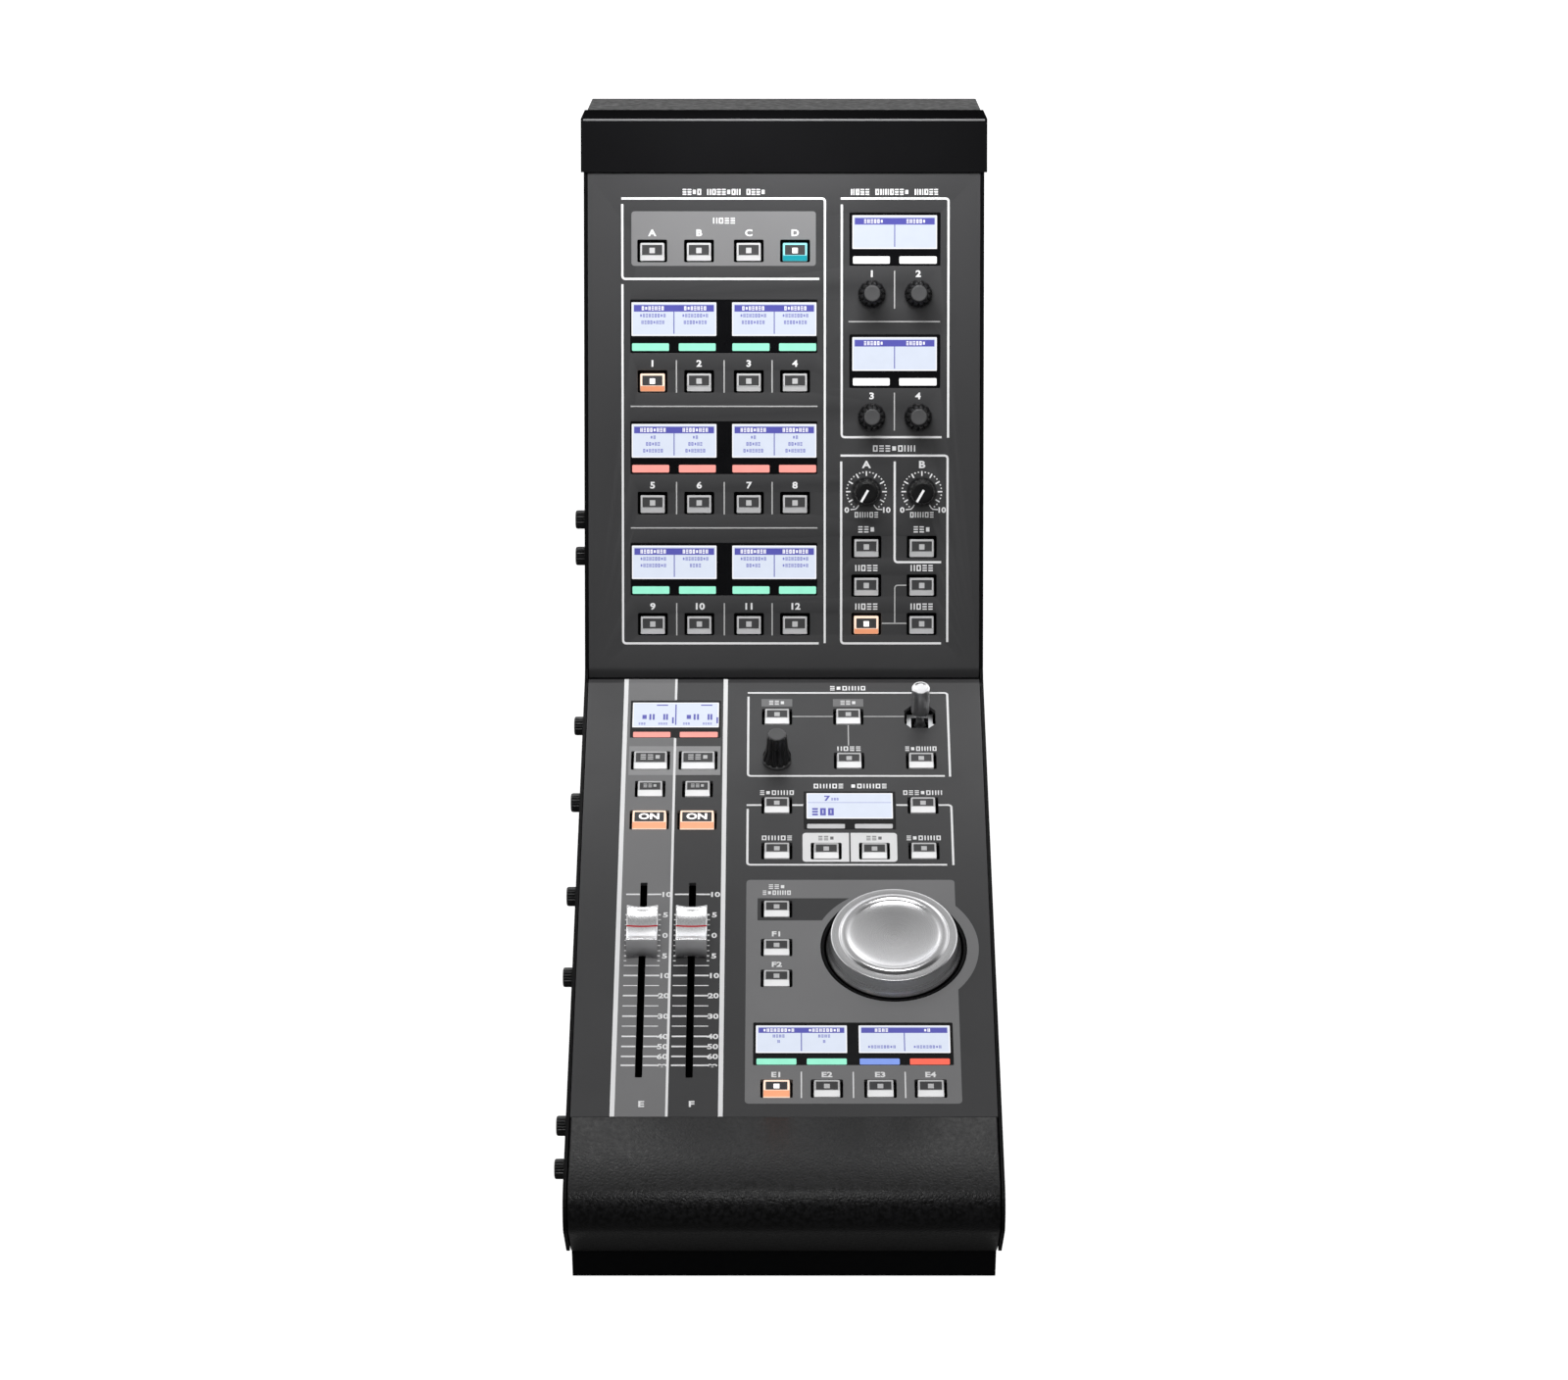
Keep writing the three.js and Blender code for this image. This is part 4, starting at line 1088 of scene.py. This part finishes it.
bars(glass, effect_bars, (29.8, 33.2), (MINT, MINT, BAR_BLUE, BAR_RED))
glass.done("lower_displays", LOWER, slot="display")

# ---- Hinge seal ----

SEAL_V = (260, 276)
SEAL_Z = (-3.6, -2.2)
seal = Builder()
seal.prism(span_box((-PANEL_HALF, PANEL_HALF), SEAL_V), *SEAL_Z, GAP_BLACK, 0.2)
seal.done("hinge_seal", LOWER, slot="case_paint")

# ---- Keys ----

LOOKS = {
    "plain": (KEY_RING, KEY_BAND, KEY_DOT),
    "orange": (LIT_RING, LIT_BAND, LIT_DOT),
    "cyan": (CYAN_RING, CYAN_BAND, LIT_DOT),
}
LIT = {("user_keys_row_1", 0): "orange", ("effect_keys", 0): "orange", ("bank_keys", 3): "cyan"}
RING = 0.86
SILL = 0.22
FACE_SINK = 0.12
FLANGE_Z = (-5.6, -4.4)
CARRIER_HALF = 2.5
CARRIER_Z = (-5.5, -4.5)


def placed_at(matrix, x, v, z=0):
    return matrix @ Matrix.Translation(Vector((x, v, z)) * MM)


def key_cap(name, body, matrix, x, v, size, look="plain", legend="dot", replaces=()):
    """A translucent cap with a dark inlay and a front that slopes down to the deck."""
    width, height, top = size
    ring, front, dot = LOOKS[look]
    half_h = height / 2
    crest = half_h - top
    mid = (crest + half_h) / 2
    low_v, high_v = crest + SILL, half_h - RING
    sunk_z = TOP_HEIGHT - FACE_SINK
    foot = rounded(0, 0, width, height, 0.5, 3)
    edge = rounded(0, mid, width - 0.4, top, 0.4, 3)
    soft = rounded(0, mid, width - 0.75, top - 0.2, 0.35, 3)
    inlay = rounded(0, (low_v + high_v) / 2, width - 2 * RING - 0.2, high_v - low_v, 0.15, 3)
    cap = Builder()
    cap.prism(rounded(0, 0, width + 3.6, height + 3.2, 0.6), *FLANGE_Z, GAP_BLACK)
    loops = [
        at(foot, FLANGE_Z[1]),
        at(foot, -0.4),
        at(inset(foot, 0.08), 0.05),
        at(edge, TOP_HEIGHT - 0.16),
        at(soft, TOP_HEIGHT),
        at(inlay, TOP_HEIGHT),
        at(inset(inlay, 0.05), sunk_z),
    ]
    cap.loops(loops, [ring, ring, front, ring, ring, ring])
    for face in cap.mesh.faces:
        centre = face.calc_center_median() / MM
        if len(face.verts) == len(inlay) and centre.z > 0:
            face.material_index = cap.index(KEY_FACE)
        elif face.material_index == cap.index(front) and centre.y > crest:
            face.material_index = cap.index(ring)
    if legend == "dot":
        cap.prism(rounded(0, 0.63, 2.5, 2.5, 0.12, 2), sunk_z - 0.02, TOP_HEIGHT - 0.02, dot)
    elif legend == "marks":
        scale = 3.3 if width > KEY[0] else 2.2
        caption(cap, 0, mid + 0.05, 3, scale, 1.0, dot, (), sunk_z)
    else:
        cap.text(legend, 0, mid + 0.1, 3.6, sunk_z, dot, 0.05)
    cap.done(name, placed_at(matrix, x, v - KEY_DROP), body, "key_plastic", replaces)


for name, (x, v) in UPPER_KEYS.items():
    look = "orange" if name == "main_key" else "plain"
    key_cap(f"{name}_cap", name, UPPER, x, v, KEY, look, replaces=[name])
for name, (x, v) in LOWER_KEYS.items():
    legend = "marks" if name.startswith("cue") else "dot"
    key_cap(f"{name}_cap", name, LOWER, x, v, KEY, legend=legend, replaces=[name])
for name, (x, v) in WIDE_KEYS.items():
    look, legend = ("orange", "ON") if name.startswith("on") else ("plain", "marks")
    key_cap(f"{name}_cap", name, LOWER, x, v, WIDE, look, legend, [name])
for row, (matrix, xs, v) in ROWS.items():
    for k, x in enumerate(xs):
        look = LIT.get((row, k), "plain")
        node = () if k else (row,)
        key_cap(f"{row}_cap_{k + 1}", row, matrix, x, v, KEY, look, replaces=node)
    strip = Builder()
    carrier = span_box((xs[0], xs[3]), (-CARRIER_HALF, CARRIER_HALF))
    strip.prism(carrier, *CARRIER_Z, GAP_BLACK, 0.2)
    strip.done(f"{row}_carrier", placed_at(matrix, 0, v - KEY_DROP), row, "key_plastic")

# ---- Knobs ----


def fluted_ring(radius, z, flutes, depth, steps=144):
    """A loop of a knob: round lobes with narrow grooves between them."""
    loop = []
    for k in range(steps):
        angle = 2 * math.pi * k / steps
        groove = (0.5 + 0.5 * math.cos(flutes * angle)) ** 3
        r = radius * (1 - depth * groove)
        loop.append((r * math.sin(angle), r * math.cos(angle), z))
    return loop


def knob(name, matrix, x, v, profile, flutes, top, collar, pointer=None):
    """Fluted knob: profile is (radius, z, groove depth) from the deck up; top is the cap's."""
    piece = Builder()
    loops = [fluted_ring(r, z, flutes, depth) for r, z, depth in profile]
    piece.loops(loops, [KNOB] * (len(loops) - 1), smooth=True)
    for face in piece.mesh.faces:
        face.smooth = len(face.verts) == 4
    radius, z, material = top
    high = profile[-1][1]
    piece.turned([(0, high - 0.3), (radius, high - 0.3), (radius, z - 0.25), (radius - 0.25, z),
                  (radius - 0.7, z), (radius * 0.5, z - 0.12), (0, z - 0.15)], material)
    low, skirt, ring_material = collar
    piece.turned([(0, 0.25), (skirt - 0.3, 0.25), (skirt, 0.5), (skirt, low - 0.2),
                  (skirt - 0.3, low), (0, low)], ring_material)
    piece.turned([(0, -8.4), (3, -8.4), (3, 0.4), (0, 0.4)], ZINC, steps=24)
    if pointer:
        piece.prism(pointer, z - 0.1, z + 0.25, WHITE_PRINT, 0.1)
    piece.done(f"{name}_grip", placed_at(matrix, x, v), name, "knob_plastic", [name])


USER_PROFILE = [
    (6.2, 0.5, 0.02), (6.4, 0.9, 0.12), (6.4, 2.2, 0.16), (6.1, 2.9, 0.18), (5.5, 3.8, 0.2),
    (5.3, 5.0, 0.2), (5.1, 9.0, 0.2), (4.8, 12.6, 0.16), (4.35, 13.4, 0.08), (3.75, 13.7, 0.0),
]
for k, (x, v) in enumerate((x, v) for v in KNOB_V for x in KNOB_X):
    knob(f"user_knob_{k + 1}", UPPER, x, v, USER_PROFILE, 12, (3.7, 14.0, KNOB_TOP),
         (1.0, 6.3, KNOB))

LEVEL_PROFILE = [
    (6.6, 0.6, 0.0), (6.8, 1.0, 0.0), (6.8, 2.0, 0.0), (6.6, 2.5, 0.0), (6.0, 3.4, 0.03),
    (5.6, 4.6, 0.05), (5.4, 9.0, 0.05), (5.3, 12.2, 0.04), (5.0, 12.7, 0.01), (4.4, 12.75, 0.0),
]
POINTER_TURN = math.radians(-150)
pointer_ends = [
    (r * math.sin(POINTER_TURN), r * math.cos(POINTER_TURN)) for r in (-1.1, 5.3)
]
for suffix, x in zip("ab", MONITOR_X):
    knob(f"level_knob_{suffix}", UPPER, x, LEVEL_V, LEVEL_PROFILE, 18, (4.5, 12.9, KNOB),
         (1.0, 6.7, KNOB), widen(pointer_ends, 0.55))

PANNER_PROFILE = [
    (6.3, 1.5, 0.02), (6.5, 1.9, 0.08), (6.5, 3.2, 0.12), (6.1, 4.4, 0.15), (5.5, 6.0, 0.16),
    (5.1, 8.0, 0.15), (4.8, 12.0, 0.13), (4.55, 15.6, 0.1), (4.3, 16.4, 0.05), (3.95, 16.8, 0.0),
]
knob("panner_knob", LOWER, *PANNER_KNOB, PANNER_PROFILE, 12, (3.9, 17.2, KNOB_TOP),
     (1.9, 6.5, KNOB_TOP))

# ---- Jog wheel ----


def smooth_profile(points, steps=4):
    """Catmull-Rom curve through the profile points."""
    result = []
    count = len(points)
    for k in range(count - 1):
        before = points[max(k - 1, 0)]
        a, b = points[k], points[k + 1]
        after = points[min(k + 2, count - 1)]
        for step in range(steps):
            t = step / steps
            result.append(tuple(
                0.5 * (2 * a[i] + (b[i] - before[i]) * t
                       + (2 * before[i] - 5 * a[i] + 4 * b[i] - after[i]) * t * t
                       + (3 * a[i] - before[i] - 3 * b[i] + after[i]) * t ** 3)
                for i in (0, 1)
            ))
    result.append(points[-1])
    return result


wheel = Builder()
wheel_wall = smooth_profile([(29.6, 0.0), (29.3, 0.6), (28.7, 2.0), (28.25, 4.0), (27.95, 6.0),
                             (27.8, 7.2)])
wheel_rim = smooth_profile([(27.75, 7.5), (27.7, 7.9), (27.3, 8.3), (26.6, 8.38), (25.4, 8.36),
                            (24.6, 8.3)])
wheel_top = smooth_profile([(24.3, 8.25), (23.95, 8.5), (23.3, 9.35), (22.2, 9.82), (21.2, 9.75),
                            (20.2, 9.35), (19.1, 8.75), (16.5, 8.0), (12, 7.25), (6, 6.65),
                            (1.5, 6.42)])
wheel_profile = [(0, -8), (4, -8), (4, -1.6), (29.7, -1.6), (29.75, -0.4), *wheel_wall,
                 *wheel_rim, *wheel_top, (0, 6.4)]
wheel.turned(wheel_profile, SATIN, steps=160)
placed_jog = placed_at(LOWER, *JOG)
wheel.done("jog_wheel_body", placed_jog, "jog_wheel", "wheel_metal", ["jog_wheel"])

bearing = Builder()
bearing.turned(
    [(0, -16), (9, -16), (9, -12), (35, -10.2), (35.2, -2.4), (31.9, -2.3), (31.9, -0.25),
     (31.7, -0.05), (30.9, -0.05), (30.6, -0.3), (30.5, -7.5), (12, -8.4), (5, -8.5), (0, -8.5)],
    WELL, steps=128, smooth=False,
)
bearing.done("jog_bearing_ring", placed_jog, BODY, "knob_plastic", ["jog_bearing"])

# ---- Joystick ----

stick = Builder()
stick.turned(
    [(0, -6), (1.8, -6), (1.8, -2.6), (2.6, -1.6), (2.8, 0), (2.6, 1.6), (1.8, 2.6), (1.8, 8.9),
     (3.6, 9.0), (3.95, 9.2), (4.1, 9.6), (4.15, 10.4), (4.15, 23.6), (4.1, 24.2), (3.9, 24.7),
     (3.55, 24.9), (3.25, 24.8), (3.05, 24.45), (2.6, 24.25), (1.2, 24.1), (0, 24.08)],
    STICK, steps=64,
)
pivot = placed_at(LOWER, *JOYSTICK, -6)
stick.done("joystick_handle", pivot, "joystick_stick", "wheel_metal", ["joystick_stick"])

well = Builder()
outer = chamfered(*JOYSTICK, 7.9, 3.2)
inner_loop = chamfered(*JOYSTICK, 7.5, 3.05)
well.loops(
    [at(outer, -14), at(outer, -2.15), at(inner_loop, -2.15), at(inner_loop, -13.4)],
    [WELL] * 3,
)
well.done("joystick_well", LOWER, slot="knob_plastic")

# ---- Faders ----

CAP_HALF = 6.8
FADER_LINE = [
    (11.8, 1.2), (11.75, 2.2), (11.1, 9.2), (10.85, 10.7), (10.3, 11.2), (9.6, 11.15),
    (8.2, 10.55), (6.2, 9.75), (4.2, 9.2), (2.2, 8.9), (0.55, 8.82), (-0.35, 8.8), (-2.2, 8.9),
    (-4.2, 9.2), (-6.2, 9.75), (-8.2, 10.5), (-9.4, 11.05), (-10.0, 11.2), (-10.6, 10.9),
    (-10.95, 10.2), (-11.3, 7.0), (-11.8, 1.2),
]
RED_AT = 10
END_REACH = 10.5


def fader_cap(name, x):
    """Cap with raised ends, a scooped waist with a red line, and hollowed end faces."""
    piece = Builder()
    columns = 24
    rows = []
    for k in range(columns + 1):
        side = -1 + 2 * k / columns
        edge = max(abs(side) - 0.95, 0) / 0.05
        cross = side * CAP_HALF
        scoop = 1 - side * side
        line = []
        for v, z in FADER_LINE:
            push = -0.75 * scoop * (1 if v > 0 else -1) if abs(v) > 9 else 0
            drop = (0.5 * scoop if z > 6 else 0) + 0.22 * edge * edge
            line.append((cross, v + push, z - drop))
        rows.append(piece.ring(line))
    for a, b in pairwise(rows):
        for k in range(len(FADER_LINE) - 1):
            face_end = min(abs(FADER_LINE[k][0]), abs(FADER_LINE[k + 1][0])) > END_REACH
            material = RED_PRINT if k == RED_AT else FADER_END if face_end else SILVER
            piece.face((a[k], a[k + 1], b[k + 1], b[k]), material, True)
        piece.face((a[-1], a[0], b[0], b[-1]), SILVER)
    piece.face(rows[0][::-1], SILVER)
    piece.face(rows[-1], SILVER)
    piece.facing_out()
    piece.prism(rounded(0, 0, 1.2, 8), -14, 4, WELL)
    piece.done(f"{name}_cap", placed_at(LOWER, x, FADER_REST_V), name, "fader_silver", [name])


for name, x in zip(("fader_e", "fader_f"), FADER_X):
    fader_cap(name, x)

slot_liner = Builder()
for x in FADER_X:
    for side in (-1, 1):
        edge_x = x + side * (FADER_SLOT / 2 + 0.45)
        slot_liner.prism(rounded(edge_x, sum(FADER_V) / 2, 0.8, 116), -2.9, -2.1, WELL)
slot_liner.done("fader_slot_liners", LOWER, slot="knob_plastic")

# ---- Armrest ----

NOSE_RADIUS = 12
NOSE_Y = -279.95
HEEL = (-261, 22.3)
PAD_THICK = 5


def armrest_line():
    """Side view (y, z) of the armrest's skin from the deck round to its heel."""
    lift = math.tan(LOWER_TILT) * (FRONT_EDGE.y - NOSE_Y - NOSE_RADIUS)
    centre = Vector((NOSE_Y + NOSE_RADIUS,
                     FRONT_EDGE.z - lift - NOSE_RADIUS / math.cos(LOWER_TILT)))
    reach = Vector(HEEL) - centre
    tangent = math.atan2(reach.y, reach.x) - math.acos(NOSE_RADIUS / reach.length)
    start, end = 90 + math.degrees(LOWER_TILT), math.degrees(tangent) + 360
    nose = arc(centre.x, centre.y, NOSE_RADIUS, start, end, 24)
    return [(FRONT_EDGE.y, FRONT_EDGE.z), *nose, HEEL]


def across_desk(outline, half, material, edge):
    """A solid with the side view (y, z), from -half to half, its side edges rounded."""
    builder = Builder()
    loops = []
    stations = [(-half, edge), (-half + edge * 0.3, edge * 0.3), (-half + edge, 0.0)]
    for x, draw in [*stations, *[(-x, draw) for x, draw in reversed(stations)]]:
        loops.append([(x, a, b) for a, b in inset(outline, draw)])
    builder.loops(loops, [material] * (len(loops) - 1))
    builder.facing_out()
    return builder


skin = armrest_line()
lining = [
    (p[0] - side.x * PAD_THICK, p[1] - side.y * PAD_THICK)
    for p, side in zip(skin, normals(skin, False))
]
armrest_builder = across_desk(skin + lining[::-1], PANEL_HALF, LEATHER, 0.9)
for face in armrest_builder.mesh.faces:
    face.smooth = len(face.verts) == 4
armrest = armrest_builder.done("armrest_skin", WORLD, BODY, "armrest_leather", ["armrest"])

# ---- Joining studs ----

STUD_DEPTH = 15
STUD_TIP = 97.3
STUD_LOWER_V = (-15.8, 8.2, 94.2, 143.2, 202.2, 252.2)
STUD_UPPER_V = (52, 69)
RAIL_X = (-89, -86)
RAIL_WIDTH = 10


def below(start, tilt, v):
    """Point (y, z) under the deck surface at v, at the depth of the studs."""
    return start + slope(tilt, v) + Vector((0, math.sin(tilt), -math.cos(tilt))) * STUD_DEPTH


stud_points = [below(FRONT_EDGE, LOWER_TILT, v) for v in STUD_LOWER_V]
stud_points += [below(RIDGE, UPPER_TILT, v) for v in STUD_UPPER_V]
LEFTWARD = WORLD @ Matrix(((0, 0, -1, 0), (0, 1, 0, 0), (1, 0, 0, 0), (0, 0, 0, 1)))
studs = Builder()
for point in stud_points:
    studs.loops(
        [
            [(a + point.z, b + point.y, z) for a, b, z in fluted_ring(radius, z, 18, depth, 108)]
            for radius, z, depth in (
                (3.0, 88.8, 0), (3.0, 92.4, 0), (3.4, 92.55, 0), (4.0, 92.6, 0), (4.3, 92.9, 0.05),
                (4.35, 93.5, 0.09), (4.35, 96.3, 0.09), (4.15, 96.9, 0.06), (3.7, 97.2, 0),
                (3.1, STUD_TIP, 0), (2.2, STUD_TIP, 0), (2.1, 96.6, 0), (1.0, 96.5, 0),
            )
        ],
        [ZINC, *[KNOB] * 11],
    )
rail_line = [
    below(FRONT_EDGE, LOWER_TILT, STUD_LOWER_V[0] - RAIL_WIDTH),
    below(FRONT_EDGE, LOWER_TILT, LOWER_LENGTH),
    below(RIDGE, UPPER_TILT, 0),
    below(RIDGE, UPPER_TILT, STUD_UPPER_V[1] + RAIL_WIDTH),
]
rail_outline = widen([(p.z, p.y) for p in rail_line], RAIL_WIDTH / 2)
studs.prism(rail_outline[::-1], -RAIL_X[1], -RAIL_X[0], ZINC, 0.4)
studs.facing_out()
studs.done("joining_studs", LEFTWARD, BODY, "knob_plastic", ["joining_stud_rail"])

# ---- Back of the case ----

REAR_Y = 280
SOCKET_Z = 84
REARWARD = WORLD @ Matrix(((-1, 0, 0, 0), (0, 0, 1, 0), (0, 1, 0, 0), (0, 0, 0, 1)))
back = Builder()
for a, b in ((0, 1.5), (-5, -1.5), (5, -1.5)):
    pin = rounded(52 + a, SOCKET_Z + b, 1.2, 4.2, 0.3)
    back.prism(pin, REAR_Y - 18, REAR_Y - 4, ZINC, 0.3)
for x in (14, -10):
    for k in range(8):
        contact = rounded(x - 3.5 + k, SOCKET_Z + 3.9, 0.45, 1.0)
        back.prism(contact, REAR_Y - 17.5, REAR_Y - 6, SOCKET_GOLD)
    for side in (-1, 1):
        lamp_spot = rounded(x + side * 5.2, SOCKET_Z + 6.3, 1.8, 1.0, 0.3)
        back.prism(lamp_spot, REAR_Y - 0.35, REAR_Y - 0.05, MINT)
back.done("socket_contacts", REARWARD, slot="plated_steel")

# Black sheets behind the vents and the rocker: painted shade that stands in for the dark inside of
# the case, so that nothing shows through it.
shade_sheets = Builder()
shade_sheets.prism(rounded(0, 172.5, 146, 56, 2), REAR_Y - 7, REAR_Y - 6, GAP_BLACK, 0.2)
shade_sheets.prism(rounded(-45, SOCKET_Z, 22, 26, 1), REAR_Y - 22, REAR_Y - 21, GAP_BLACK, 0.2)
shade_sheets.done("painted_shade_screen", REARWARD, slot="case_paint")

SCREW_SPOTS = [(a, z) for a in (-84, 84) for z in (60, 125, 190, 245)]
SCREW_SPOTS += [(75, SOCKET_Z), (28, SOCKET_Z), (-24, SOCKET_Z)]
SIDE_SPOTS = [(60, -190), (70, -60), (60, 60), (60, 180), (200, 190), (160, 130), (250, 235)]
SIDE_FACE = 92.4


def screws(name, matrix, spots, z, radius):
    """Countersunk cross-head screws, their faces just proud of z."""
    builder = Builder()
    for a, b in spots:
        rings = [(0, z - 4), (radius * 0.5, z - 4), (radius * 0.5, z - 1), (radius, z - 0.1),
                 (radius, z + 0.02), (radius - 0.25, z + 0.08), (0, z + 0.08)]
        builder.turned(rings, ZINC, (a, b), 32, False)
        for size in ((radius * 0.28, radius * 1.2), (radius * 1.2, radius * 0.28)):
            builder.prism(rounded(a, b, *size), z + 0.07, z + 0.1, GAP_BLACK)
    builder.done(name, matrix, slot="plated_steel")


screws("rear_screws", REARWARD, SCREW_SPOTS, REAR_Y - 0.3, 2.6)
screws("left_side_screws", LEFTWARD, SIDE_SPOTS, SIDE_FACE, 2.4)

ROCKER_HALF = 8.5
ROCKER_FACE = 7
ROCKER_TILT = math.radians(7)
ROCKER_Y = REAR_Y - 8.1
rocker = Builder()
low_corner, high_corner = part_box("power_switch")
switch_x = (low_corner.x + high_corner.x) / 2 / MM - CENTRE_X
reach = math.hypot(ROCKER_HALF, ROCKER_FACE)
corner = math.degrees(math.atan2(ROCKER_HALF, ROCKER_FACE))
rocker_line = [(4.5, 0), *arc(0, 0, reach, corner, 90, 8), *arc(0, 0, reach, -90, -corner, 8)]
rocker_loops = [
    [(x, a, b) for a, b in inset(rocker_line, draw)]
    for x, draw in ((-6, 0.6), (-5.7, 0.15), (-5.2, 0), (5.2, 0), (5.7, 0.15), (6, 0.6))
]
rocker.loops(rocker_loops, [KNOB] * 5)
rocker.facing_out()
rocker.mesh.transform(Matrix.Rotation(ROCKER_TILT, 4, "X"))
switch_place = placed_at(WORLD, switch_x, ROCKER_Y, SOCKET_Z)
rocker.done("power_rocker", switch_place, "power_switch", "knob_plastic", ["power_switch"])

# ---- Carried-over pieces ----

CARRIED = {
    "left_side_panel": (CASE, 0.25),
    "right_side_panel": (CASE, 0.25),
    "top_cover": (COVER, 0.9),
    "rear_panel": (CASE, 0.25),
    "base_tray": (CASE, 0.4),
    "front_foot_bar": (RUBBER, 0.8),
    "rear_foot_bar": (RUBBER, 0.8),
    "power_supply": (ZINC, 0.3),
    "fader_unit": (GAP_BLACK, 0.3),
    "joystick_gimbal": (ZINC, 0.2),
    "rear_connectors": (KNOB, 0.0),
    "upper_display_board": (SOLDER_MASK, 0.0),
    "lower_display_board": (SOLDER_MASK, 0.0),
}
for node, (material, edge) in CARRIED.items():
    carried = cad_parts[node]
    carried.data.materials.clear()
    carried.data.materials.append(material)
    if edge:
        rounding = carried.modifiers.new("edges", "BEVEL")
        rounding.width = edge * MM
        rounding.segments = 3
        rounding.limit_method = "ANGLE"
        rounding.angle_limit = math.radians(30)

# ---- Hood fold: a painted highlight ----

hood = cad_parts["top_cover"]
crown = max((hood.matrix_world @ vertex.co / MM for vertex in hood.data.vertices), key=lambda p: p.z)
FOLD_BEAD = 0.55
COVER_HALF = 92.6
# A thin light grey bead along the hood's crown, as a painted highlight on the fold line.
bead = Builder()
bead_loop = [
    (crown.y + a - 0.1, crown.z - FOLD_BEAD + b - 0.02)
    for a, b in arc(0, 0, FOLD_BEAD, 0, 330, 11)
]
bead.loops([[(x, a, b) for a, b in bead_loop] for x in (-COVER_HALF, COVER_HALF)], [FOLD_HIGHLIGHT])
bead.facing_out()
bead.done("cover_fold_painted_highlight", WORLD, slot="case_paint")
